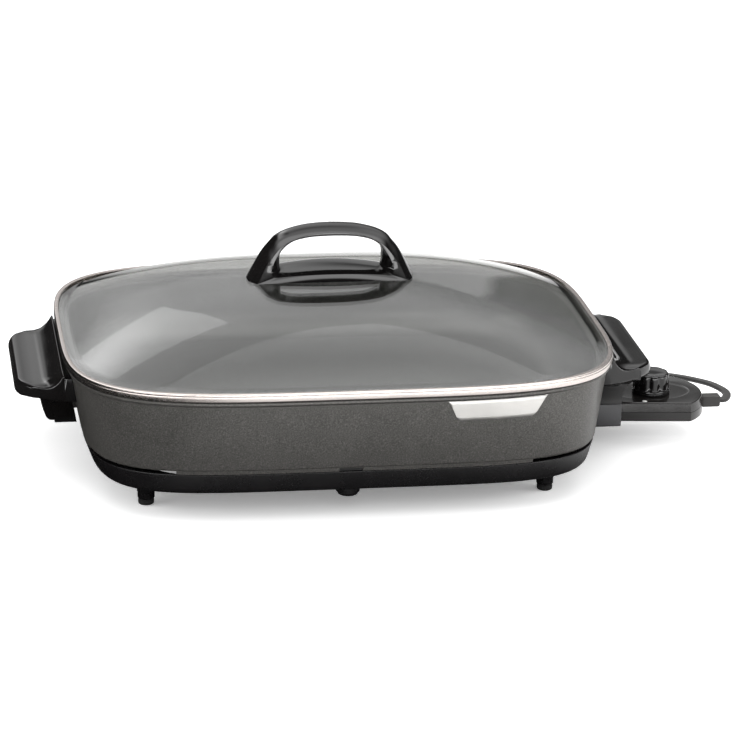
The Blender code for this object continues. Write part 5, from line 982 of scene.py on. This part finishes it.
def make_base():
    """The black skirt with its rounded lower edge, ribbed legs and the two middle feet."""
    edge = GAP * 2
    section = rounded([
        (BASE_WALL, BASE_TOP, GAP), (0, BASE_TOP, edge), (0, BASE_BOTTOM, BASE_EDGE_RADIUS),
        (BASE_FLANGE, BASE_BOTTOM, edge), (BASE_FLANGE, FLANGE_TOP, edge),
        (BASE_EDGE_RADIUS, FLANGE_TOP, BASE_WALL)], 7)
    rings = [flat_ring(base_outline(height, inset), height) for inset, height in section]
    window = box_mesh("window", (WELL_END_X - BASE_WALL, -WINDOW_WIDTH / 2, FLANGE_TOP),
                      (FOOT_LENGTH / 2 + OVERRUN, WINDOW_WIDTH / 2, BASE_TOP + OVERRUN))
    base = shaped(loft_mesh("skirt", rings, True), ("DIFFERENCE", window))
    piece("moulded_skirt", base, "base_plastic", replaces=("base_skirt",))
    low, middle = PAD_HEIGHT + GAP, (BASE_BOTTOM + FLANGE_TOP) / 2
    radius, waist = LEG_RADIUS, LEG_RADIUS * LEG_WAIST_SHARE
    leg = [(0, middle), (radius * 1.12, middle), (radius * 1.10, BASE_BOTTOM),
           (radius, BASE_BOTTOM - edge), (radius, mix(low, BASE_BOTTOM, 0.34)),
           (waist, mix(low, BASE_BOTTOM, 0.30)), (waist, low + edge), (radius * 0.86, low),
           (0, low)]
    for face, end, side_x, side_y in CORNERS:
        piece(f"leg_{face}_{end}", turned_mesh("leg", leg), "base_plastic",
              place=(side_x * LEG_X, side_y * LEG_Y, 0))
    foot = [(0, middle), (MIDFOOT_RADIUS, middle)]
    foot += [(MIDFOOT_RADIUS * share, mix(MIDFOOT_BOTTOM, middle, rise))
             for share, rise in MIDFOOT_SHARES]
    for face, side_y in (("front", -1), ("back", 1)):
        piece(f"middle_foot_{face}", turned_mesh("middle_foot", foot), "base_plastic",
              place=(SLOT_OFFSET, side_y * MIDFOOT_Y, 0))


def make_pads():
    """A ribbed rubber pad in the end of each leg."""
    profile = [(PAD_RADIUS * share, PAD_HEIGHT * rise) for share, rise in PAD_SHARES]
    for face, end, side_x, side_y in CORNERS:
        piece(f"rubber_pad_{face}_{end}", turned_mesh("pad", profile), "grey_rubber",
              replaces=(f"foot_pad_{face}_{end}",), place=(side_x * LEG_X, side_y * LEG_Y, 0))


def quarter(share):
    """How far a quarter of a circle has dropped at a share of its radius."""
    return 1 - sqrt(1 - share ** 2)


def grip_ring(side, shares, along, drop):
    """The grip's section at a share of its half length, thinned by a drop near its ends."""
    corner = GRIP_CORNER / GRIP_HALF_OUTER
    bend = quarter(max(0.0, (abs(along) - 1 + corner) / corner))
    reach = GRIP_REACH - 3 * GAP - GRIP_CORNER * bend
    middle = mix(GRIP_LOW, GRIP_HIGH, GRIP_MIDDLE_SHARE)
    ring = []
    for x_share, z_share in shares:
        x = mix(GRIP_ROOT, reach if x_share > 0 else GRIP_REACH, x_share)
        half = mix(GRIP_HALF_ROOT, GRIP_HALF_OUTER, (x - GRIP_ROOT) / (GRIP_REACH - GRIP_ROOT))
        height = mix(GRIP_LOW, GRIP_HIGH, z_share)
        thin = min(drop, abs(height - middle) * GRIP_THIN_SHARE)
        ring.append((side * x, along * half, height - copysign(thin, height - middle)))
    return ring


def grip_mesh(side, root):
    """The dished grip, lofted from end to end."""
    behind = (root - GRIP_ROOT) / (GRIP_REACH - GRIP_ROOT)
    shares = smooth_line(GRIP_SECTION_SHARES, 4)
    shares += [Vector((behind, 0)), Vector((behind, GRIP_ROOT_HEIGHT_SHARE))]
    stations = set()
    for step in range(GRIP_STATIONS + 1):
        size = GRIP_CORNER if step < GRIP_STATIONS / 2 else GRIP_ROUND
        stations.add(1 - size * (1 - sin(pi / 2 * step / GRIP_STATIONS)) / GRIP_HALF_OUTER)
    ends = []
    for along in sorted(stations):
        depth = max(0.0, 1 - (1 - along) * GRIP_HALF_OUTER / GRIP_ROUND)
        ends.append((along, GRIP_ROUND * quarter(min(1.0, depth))))
    rows = [(-along, drop) for along, drop in reversed(ends)] + ends
    return loft_mesh("handle", [grip_ring(side, shares, *row) for row in rows])


def make_handle(end, side):
    """A side handle: a dished grip with a ridge by the rim, and the block that hangs below it."""
    root = GRIP_ROOT - GRIP_ROOT_DEPTH
    reach = HANGER_REACH if side < 0 else CONTROL_HANGER_REACH
    bend_x = max(mix(GRIP_ROOT, GRIP_REACH, GRIP_BEND_SHARE), reach + GRIP_CORNER / 2)
    rings = []
    for rise, outwards, flare in smooth_line(HANGER_LEVEL_SHARES, 3):
        inner = side * mix(HANGER_ROOT, WALL_TOP_LENGTH / 2 - WALL_THICKNESS / 2, min(1, rise))
        outer = side * mix(reach, bend_x, outwards)
        half = mix(HANGER_HALF, HANGER_HALF_TOP, flare)
        rings.append(flat_ring([(inner, -half), (outer, -half), (outer, half), (inner, half)],
                               mix(HANGER_BOTTOM, GRIP_LOW, rise)))
    wall = [flat_ring(pan_outline(level, -GAP), height) for level, height in (
        (HANGER_BOTTOM - OVERRUN, HANGER_BOTTOM - OVERRUN), (WALL_TOP_HEIGHT, WALL_TOP_HEIGHT),
        (WALL_TOP_HEIGHT, GRIP_HIGH + OVERRUN))]
    limit = box_mesh("limit", (side * (GRIP_REACH + OVERRUN), -GRIP_HALF_ROOT, GRIP_LOW - OVERRUN),
                     (side * (root - OVERRUN), GRIP_HALF_ROOT, GRIP_HIGH + OVERRUN))
    steps = [("INTERSECT", limit), ("UNION", loft_mesh("hanger", rings))]
    if side < 0:
        apron = [(side * mix(GRIP_ROOT, GRIP_REACH, x), mix(HANGER_BOTTOM, GRIP_LOW, z))
                 for x, z in smooth_line(APRON_SECTION_SHARES, 4)]
        steps.append(("UNION", prism_mesh("apron", apron, "y", -APRON_HALF, APRON_HALF)))
    steps += [("BEVEL", (GRIP_EDGE, 4, 40)), ("DIFFERENCE", loft_mesh("wall", wall))]
    piece(f"moulded_{end}_handle", shaped(grip_mesh(side, root), *steps), "black_phenolic",
          replaces=(f"{end}_handle",), angle=40)


def make_guard():
    """The rectangular sleeve under the right handle that the heat control enters."""
    top = HANGER_BOTTOM - GAP

    def outline(inset, low_radius, high_radius):
        half, low, high = GUARD_HALF - inset, GUARD_BOTTOM + inset, top - inset
        return rounded([(-half, low, low_radius), (half, low, low_radius),
                        (half, high, high_radius), (-half, high, high_radius)])

    bore = prism_mesh("bore", outline(GUARD_WALL, GUARD_WALL / 2, GUARD_WALL / 4), "x",
                      GUARD_ROOT - OVERRUN, GUARD_REACH + OVERRUN)
    guard = shaped(prism_mesh("guard", outline(0, GUARD_WALL, 0), "x", GUARD_ROOT, GUARD_REACH),
                   ("DIFFERENCE", bore), ("BEVEL", (GAP, 2, 50)))
    piece("guard_sleeve", guard, "black_phenolic", replaces=("terminal_guard",), look="guard")


def wall_point(x, height, stand_off):
    """A point on the front wall at a length x, a stand-off in front of it."""
    half_length, half_depth, power = wall_sizes(height)
    depth = half_depth * (1 - (abs(x) / half_length) ** power) ** (1 / power)
    slope = (half_depth / half_length) * (abs(x) / half_length) ** (power - 1)
    lean = hypot(slope, 1)
    return (x + stand_off * slope / lean, -depth - stand_off / lean, height)


def badge_column(share):
    """Pairs of points, on the wall and on the plate's face, from the foot to the top."""
    top_x = mix(BADGE_LEFT_X, BADGE_RIGHT_X, share)
    foot_x = mix(BADGE_LEFT_X + BADGE_SLANT_LEFT, BADGE_RIGHT_X - BADGE_SLANT_RIGHT, share)
    near = min(share, 1 - share) * (BADGE_RIGHT_X - BADGE_LEFT_X)
    corner = quarter(max(0, 1 - near / BADGE_CORNER))
    foot = BADGE_BOTTOM + BADGE_CORNER * corner * BADGE_CORNER_RISE_SHARE
    column = []
    for level in range(BADGE_LEVELS + 1):
        x, height = (mix(low, high, level / BADGE_LEVELS)
                     for low, high in ((foot_x, top_x), (foot, BADGE_TOP)))
        inside = min(near, height - foot, BADGE_TOP - height) / BADGE_THICKNESS
        stand = GAP + BADGE_THICKNESS * (1 - BADGE_EDGE_DROP_SHARE * max(0, 1 - inside) ** 2)
        column.append((wall_point(x, height, GAP), wall_point(x, height, stand)))
    return column


def make_badge():
    """The bare plate on the front wall, with softened edges."""
    shape = bmesh.new()
    grid = [[[shape.verts.new(point) for point in pair]
             for pair in badge_column(column / BADGE_COLUMNS)]
            for column in range(BADGE_COLUMNS + 1)]
    for before, after in zip(grid, grid[1:]):
        for level in range(BADGE_LEVELS):
            for layer in (0, 1):
                shape.faces.new((before[level][layer], after[level][layer],
                                 after[level + 1][layer], before[level + 1][layer]))
        for level in (0, BADGE_LEVELS):
            shape.faces.new((before[level][0], after[level][0], after[level][1], before[level][1]))
    for row in (grid[0], grid[-1]):
        for level in range(BADGE_LEVELS):
            shape.faces.new((row[level][0], row[level][1], row[level + 1][1], row[level + 1][0]))
    piece("bare_badge", finish_mesh(shape, "bare_badge"), "badge_metal",
          replaces=("badge_plate",), angle=50)


def dome_height(x, y):
    """Height of the glass's upper face near its middle, where the outline is nearly round."""
    share = (abs(2 * x / DOME_LENGTH) ** DOME_POWER + abs(2 * y / DOME_DEPTH) ** DOME_POWER)
    return DOME_TOP - DOME_RISE * share ** (DOME_PROFILE / DOME_POWER)


def dome_rings(drop, shares):
    """Rings of the dome from near its top to its foot, all lowered by a drop."""
    rings = []
    for share in shares:
        power = mix(DOME_POWER, RIM_POWER, share)
        outline = superellipse(DOME_LENGTH / 2 * share, DOME_DEPTH / 2 * share, power)
        rings.append(flat_ring(outline, DOME_TOP - DOME_RISE * share ** DOME_PROFILE - drop))
    return rings


def make_lid_glass():
    """The domed glass with its flat edge."""
    shares = [mix(DOME_START_SHARE, 1.0, step / DOME_STEPS) for step in range(DOME_STEPS + 1)]
    edge = GLASS_THICKNESS / 6
    low = GLASS_TOP - GLASS_THICKNESS
    upper = [(edge * back, GLASS_TOP - edge * drop) for back, drop in GLASS_EDGE_SHARES]
    lower = [(edge * back, low + edge * rise) for back, rise in reversed(GLASS_EDGE_SHARES)]
    rings = dome_rings(0.0, shares)
    for inset, height in upper + lower:
        outline = superellipse(GLASS_LENGTH / 2 - inset, GLASS_DEPTH / 2 - inset, RIM_POWER)
        rings.append(flat_ring(outline, height))
    rings += reversed(dome_rings(GLASS_THICKNESS, shares))
    piece("domed_glass", loft_mesh("domed_glass", rings), "clear_glass", "lid", ("lid_glass",),
          angle=60)


def make_band():
    """The rolled steel band round the glass, with a bead along its top."""
    sheet, flange, high = BAND_SHEET, BAND_FLANGE, BAND_HEIGHT
    fold = GAP
    section = rounded([
        (0, 0, 3 * fold), (0, high * 0.60, fold), (fold * 1.5, high * 0.66, fold),
        (0, high * 0.72, fold), (0, high, 3 * fold), (flange, high, fold / 2),
        (flange, high - sheet, fold / 2), (sheet, high - sheet, fold), (sheet, sheet, fold),
        (flange, sheet, fold / 2), (flange, 0, fold / 2)], 4)
    rings = []
    for inset, rise in section:
        outline = superellipse(RIM_LENGTH / 2 - inset, RIM_DEPTH / 2 - inset, RIM_POWER)
        rings.append(flat_ring(outline, BAND_BOTTOM + rise))
    piece("rolled_band", loft_mesh("rolled_band", rings, True), "polished_steel", "lid",
          ("lid_band",), angle=40)


def arch_loop(shares, foot):
    """A loop seen from the front: up from the right foot, over the top and down to the left."""
    right = [(ARCH_HALF * x, foot + ARCH_HEIGHT * z) for x, z in smooth_line(shares, ARCH_STEPS)]
    return right + [(-x, z) for x, z in reversed(right[:-1])]


def make_lid_handle():
    """The arched handle, lofted from back to front as a ring with a crowned outside."""
    foot = dome_height(ARCH_HALF, 0)
    crown, face, mouth, throat = (
        arch_loop(shares, foot) for shares in (ARCH_CROWN_SHARES, ARCH_FACE_SHARES,
                                               ARCH_MOUTH_SHARES, ARCH_THROAT_SHARES))

    def depth_at(height):
        rise = min(1, max(0, (height - foot) / ARCH_HEIGHT))
        return mix(ARCH_FOOT_DEPTH, ARCH_TOP_DEPTH, rise ** ARCH_DEPTH_POWER)

    def sunk(x, y):
        return (x, y, dome_height(x, y) + ARCH_SINK)

    def over(middle, edge, share, power, inset):
        """The part of a loop over the top, blended from the middle to the faces."""
        blend = abs(share) ** power
        points = ((mix(x0, x1, blend), mix(z0, z1, blend))
                  for (x0, z0), (x1, z1) in zip(middle, edge))
        return [(x, share * (depth_at(z) - inset), z) for x, z in points]

    def outer(share):
        """The outside, with its foot on the glass."""
        loop = over(crown, face, share, ARCH_CROWN_POWER, 0)
        start, end = loop[-1], loop[0]
        for step in range(1, ARCH_FLOOR_STEPS):
            x = mix(start[0], end[0], step / ARCH_FLOOR_STEPS)
            bow = ARCH_BOW * max(0, 1 - (x / (ARCH_HALF * ARCH_BOW_SHARE)) ** 2)
            loop.append(sunk(x, share * (ARCH_FOOT_DEPTH + bow)))
        for index in (0, len(crown) - 1):
            loop[index] = sunk(*loop[index][:2])
        return loop

    def inner(share):
        """The opening, with a floor that bows up and out."""
        loop = over(throat, mouth, share, ARCH_MOUTH_POWER, GAP)
        start, end = loop[-1], loop[0]
        for step in range(1, ARCH_FLOOR_STEPS):
            part = step / ARCH_FLOOR_STEPS
            x = mix(start[0], end[0], part)
            bow = 1 - (x / end[0]) ** 2
            z = mix(start[2], end[2], part) + ARCH_FLOOR_RISE * bow
            loop.append((x, share * (depth_at(z) - GAP + ARCH_LIP_BOW * bow), z))
        return loop

    shares = [sin(pi / 2 * (2 * step / ARCH_STATIONS - 1)) for step in range(ARCH_STATIONS + 1)]
    rings = [outer(share) for share in shares] + [inner(share) for share in reversed(shares)]
    handle = shaped(loft_mesh("arch", rings, True), ("BEVEL", (GAP * 2, 3, 45)))
    piece("arched_handle", handle, "black_phenolic", "lid", ("lid_handle",), angle=40)


def control_outline(inset=0.0, points=48):
    """The heat control seen from above: tapered sides and an arc about the knob's axis."""
    radius = CONTROL_END_RADIUS - inset
    wide = CONTROL_WIDTH / 2 - inset
    narrow = CONTROL_ROOT_WIDTH / 2 - inset
    root = CONTROL_ROOT_X - KNOB_X + inset
    reach = asin(wide / radius)
    arc = [(radius * cos(mix(-reach, reach, step / points)),
            radius * sin(mix(-reach, reach, step / points))) for step in range(points + 1)]
    return [(root, -narrow)] + arc + [(root, narrow)]


def half_shell(name, low, high, opening_up, lean=0.0):
    """Half of the control's case: a tray with a rounded outer edge, whose sides may lean in."""
    edge, shell = CONTROL_EDGE, CONTROL_SHELL
    base, rim = (low, high) if opening_up else (high, low)
    way = 1 if opening_up else -1
    rings = [flat_ring(control_outline(lean + edge), base)]
    for step in range(1, SHELL_STEPS + 1):
        angle = pi / 2 * step / SHELL_STEPS
        rings.append(flat_ring(control_outline(lean + edge * (1 - sin(angle))),
                               base + way * edge * (1 - cos(angle))))
    rings += [flat_ring(control_outline(), rim), flat_ring(control_outline(shell), rim),
              flat_ring(control_outline(shell), base + way * shell)]
    return loft_mesh(name, rings)


def make_control():
    """The heat control's case in two halves, with the dished top and the lens."""
    place = (KNOB_X, 0, 0)
    root = CONTROL_ROOT_X - KNOB_X
    slot_half = TERMINAL_SPACING * SLOT_SHARE
    slot = box_mesh("slot", (root - OVERRUN, -slot_half, CONTROL_AXIS - SLOT_HALF_HEIGHT),
                    (root + CONTROL_SHELL + OVERRUN, slot_half, CONTROL_PARTING + OVERRUN))
    lower = half_shell("lower", CONTROL_BOTTOM, CONTROL_PARTING - GAP / 2, True)
    piece("case_lower", shaped(lower, ("DIFFERENCE", slot)), "black_phenolic", "heat_control",
          ("control_lower_housing",), place, look="case")
    outlines = [(superellipse(RECESS_LENGTH / 2 * share, RECESS_WIDTH / 2 * share, 2, 96), drop)
                for share, drop in DISH_SHARES]
    dish = [flat_ring(outlines[0][0], CONTROL_TOP + OVERRUN)]
    dish += [flat_ring(outline, CONTROL_TOP - drop * RECESS_DEPTH) for outline, drop in outlines]
    holes = [rod_mesh("hole", radius + GAP, (x, y, CONTROL_TOP - CASE_HOLE_DEPTH),
                      (x, y, CONTROL_TOP + OVERRUN))
             for radius, x, y in ((LENS_RADIUS, LENS_X - KNOB_X, LENS_Y), (SHAFT_RADIUS, 0, 0))]
    upper = half_shell("upper", CONTROL_PARTING + GAP / 2, CONTROL_TOP, False, CONTROL_LEAN)
    upper = shaped(upper, *(("DIFFERENCE", cut) for cut in [loft_mesh("dish", dish)] + holes))
    piece("case_upper", upper, "black_phenolic", "heat_control", ("control_upper_housing",), place,
          look="case")
    top = CONTROL_TOP + GAP
    profile = [(0, top), (LENS_RADIUS * 0.5, top - GAP / 6), (LENS_RADIUS * 0.85, top - GAP / 2),
               (LENS_RADIUS, top - GAP * 1.2), (LENS_RADIUS, top - LENS_HEIGHT),
               (0, top - LENS_HEIGHT)]
    piece("pilot_lens", turned_mesh("pilot_lens", profile, 40), "lens_plastic", "heat_control",
          ("pilot_light_lens",), (LENS_X, LENS_Y, 0))


def make_knob():
    """The fluted knob with its skirt and a knurled, dished top."""
    low = CONTROL_TOP - RECESS_DEPTH + GAP
    top = low + KNOB_HEIGHT
    skirt, step = KNOB_SKIRT_RADIUS, low + KNOB_SKIRT
    points = KNOB_FLUTES * KNOB_FLUTE_POINTS
    levels = [(SHAFT_RADIUS + GAP, 0, low), (skirt - GAP, 0, low),
              (skirt, 0, mix(low, step, 0.25)), (skirt - GAP / 2, 0, mix(low, step, 0.5)),
              (skirt - 3 * GAP, 0, mix(low, step, 0.66)),
              (KNOB_RADIUS + 2 * GAP, 0, mix(low, step, 0.86)),
              (KNOB_RADIUS + GAP / 2, 0.4, step), (KNOB_RADIUS, 1, mix(low, step, 1.4))]
    levels += [(KNOB_RADIUS * size, 1, mix(step, top, share))
               for share, size in ((0.35, 0.992), (0.7, 0.98), (0.9, 0.972))]
    levels += [(KNOB_RADIUS * size, depth, top - KNOB_WALL * drop)
               for size, depth, drop in KNOB_TOP_SHARES]
    rings = []
    for radius, depth, height in levels:
        ring = []
        for index in range(points):
            angle = FULL_TURN * index / points
            wave = (0.5 + 0.5 * cos(KNOB_FLUTES * angle)) ** 2
            reach = radius - KNOB_FLUTE_DEPTH * depth * wave
            ring.append((reach * cos(angle), reach * sin(angle), height))
        rings.append(ring)
    piece("fluted_knob", loft_mesh("fluted_knob", rings), "black_phenolic", "dial",
          ("dial_knob",), (KNOB_X, 0, 0), 50)


def make_element(points=36):
    """The sheathed element that runs round under the floor to its two terminals."""
    height = UNDERSIDE - GAP - ELEMENT_RADIUS
    half = TERMINAL_SPACING / 2
    start_x = TERMINAL_START_X - GAP
    front = [(start_x, -half, CONTROL_AXIS), (start_x - ELEMENT_CORNER / 5, -half, CONTROL_AXIS),
             (start_x - ELEMENT_CORNER / 2, -half - ELEMENT_RADIUS, height)]
    loop = []
    for index in range(points):
        x, y = superellipse_point(ELEMENT_HALF_LENGTH, ELEMENT_HALF_DEPTH, ELEMENT_POWER,
                                  -FULL_TURN * (index + 0.5) / points)
        if x < ELEMENT_HALF_LENGTH * ELEMENT_END_SHARE:
            loop.append((x, y, height))
    route = smooth_line(front + loop + [(x, -y, z) for x, y, z in reversed(front)], 3)
    tube = swept_mesh("element", route, superellipse(ELEMENT_RADIUS, ELEMENT_RADIUS, 2, 16))
    piece("sheathed_element", tube, "element_sheath", replaces=("heating_element",))


def dress_nodes():
    """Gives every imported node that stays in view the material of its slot."""
    for row in frame["record"]["subparts"]:
        node = frame["nodes"][row["node"]]
        if not node.hide_render:
            node.data.materials.clear()
            node.data.materials.append(LOOKS[row["material_slot"]])


def make_materials():
    """One material for each slot of the record, and two duller blacks for guard and case."""
    return {
        "coated_aluminium": make_coating("flecked_coating", (0.086, 0.083, 0.078), 0.36, 0.22),
        "black_phenolic": make_moulding("black_phenolic_gloss", (0.006, 0.0055, 0.0055), 0.075),
        "base_plastic": make_moulding("black_base_satin", (0.006, 0.0055, 0.006), 0.26, 0.00002),
        "polished_steel": make_steel("polished_band", (0.66, 0.60, 0.57), 0.22, (1.0, 1.0, 6.0)),
        "badge_metal": make_steel("brushed_badge", (0.55, 0.54, 0.52), 0.38, (0.2, 0.2, 3.0)),
        "clear_glass": make_glass(),
        "grey_rubber": make_moulding("dark_rubber", (0.020, 0.020, 0.020), 0.60, 0.00003, 1500),
        "element_sheath": make_steel("heated_sheath", (0.20, 0.18, 0.16), 0.42, (1.0, 1.0, 1.0)),
        "white_ceramic": make_moulding("ceramic", (0.62, 0.58, 0.50), 0.62, 0.00003, 700),
        "zinc_steel": make_steel("zinc_plate", (0.52, 0.52, 0.50), 0.33, (1.0, 1.0, 1.0)),
        "lens_plastic": make_moulding("pilot_lens_white", (0.80, 0.80, 0.78), 0.20),
        "cord_jacket": make_moulding("cord_jacket_black", (0.030, 0.029, 0.028), 0.52, 0.00002,
                                     1400),
        "blade_brass": make_steel("blade_brass_plain", (0.66, 0.50, 0.25), 0.30, (1.0, 4.0, 4.0)),
        "guard": make_moulding("grey_black_guard", (0.042, 0.042, 0.045), 0.36, 0.00002),
        "case": make_moulding("grey_black_case", (0.012, 0.011, 0.0105), 0.14),
    }


def build():
    make_camera()
    LOOKS.update(make_materials())
    cord, path = make_cord()
    loose = [make_plug(), make_tie(), make_relief()]
    make_studio()
    make_pan()
    make_base()
    make_pads()
    make_element()
    make_handle("left", -1)
    make_handle("right", 1)
    make_guard()
    make_badge()
    make_lid_glass()
    make_band()
    make_lid_handle()
    make_control()
    make_knob()
    dress_nodes()
    bpy.context.scene.view_settings.view_transform = "Standard"


build()
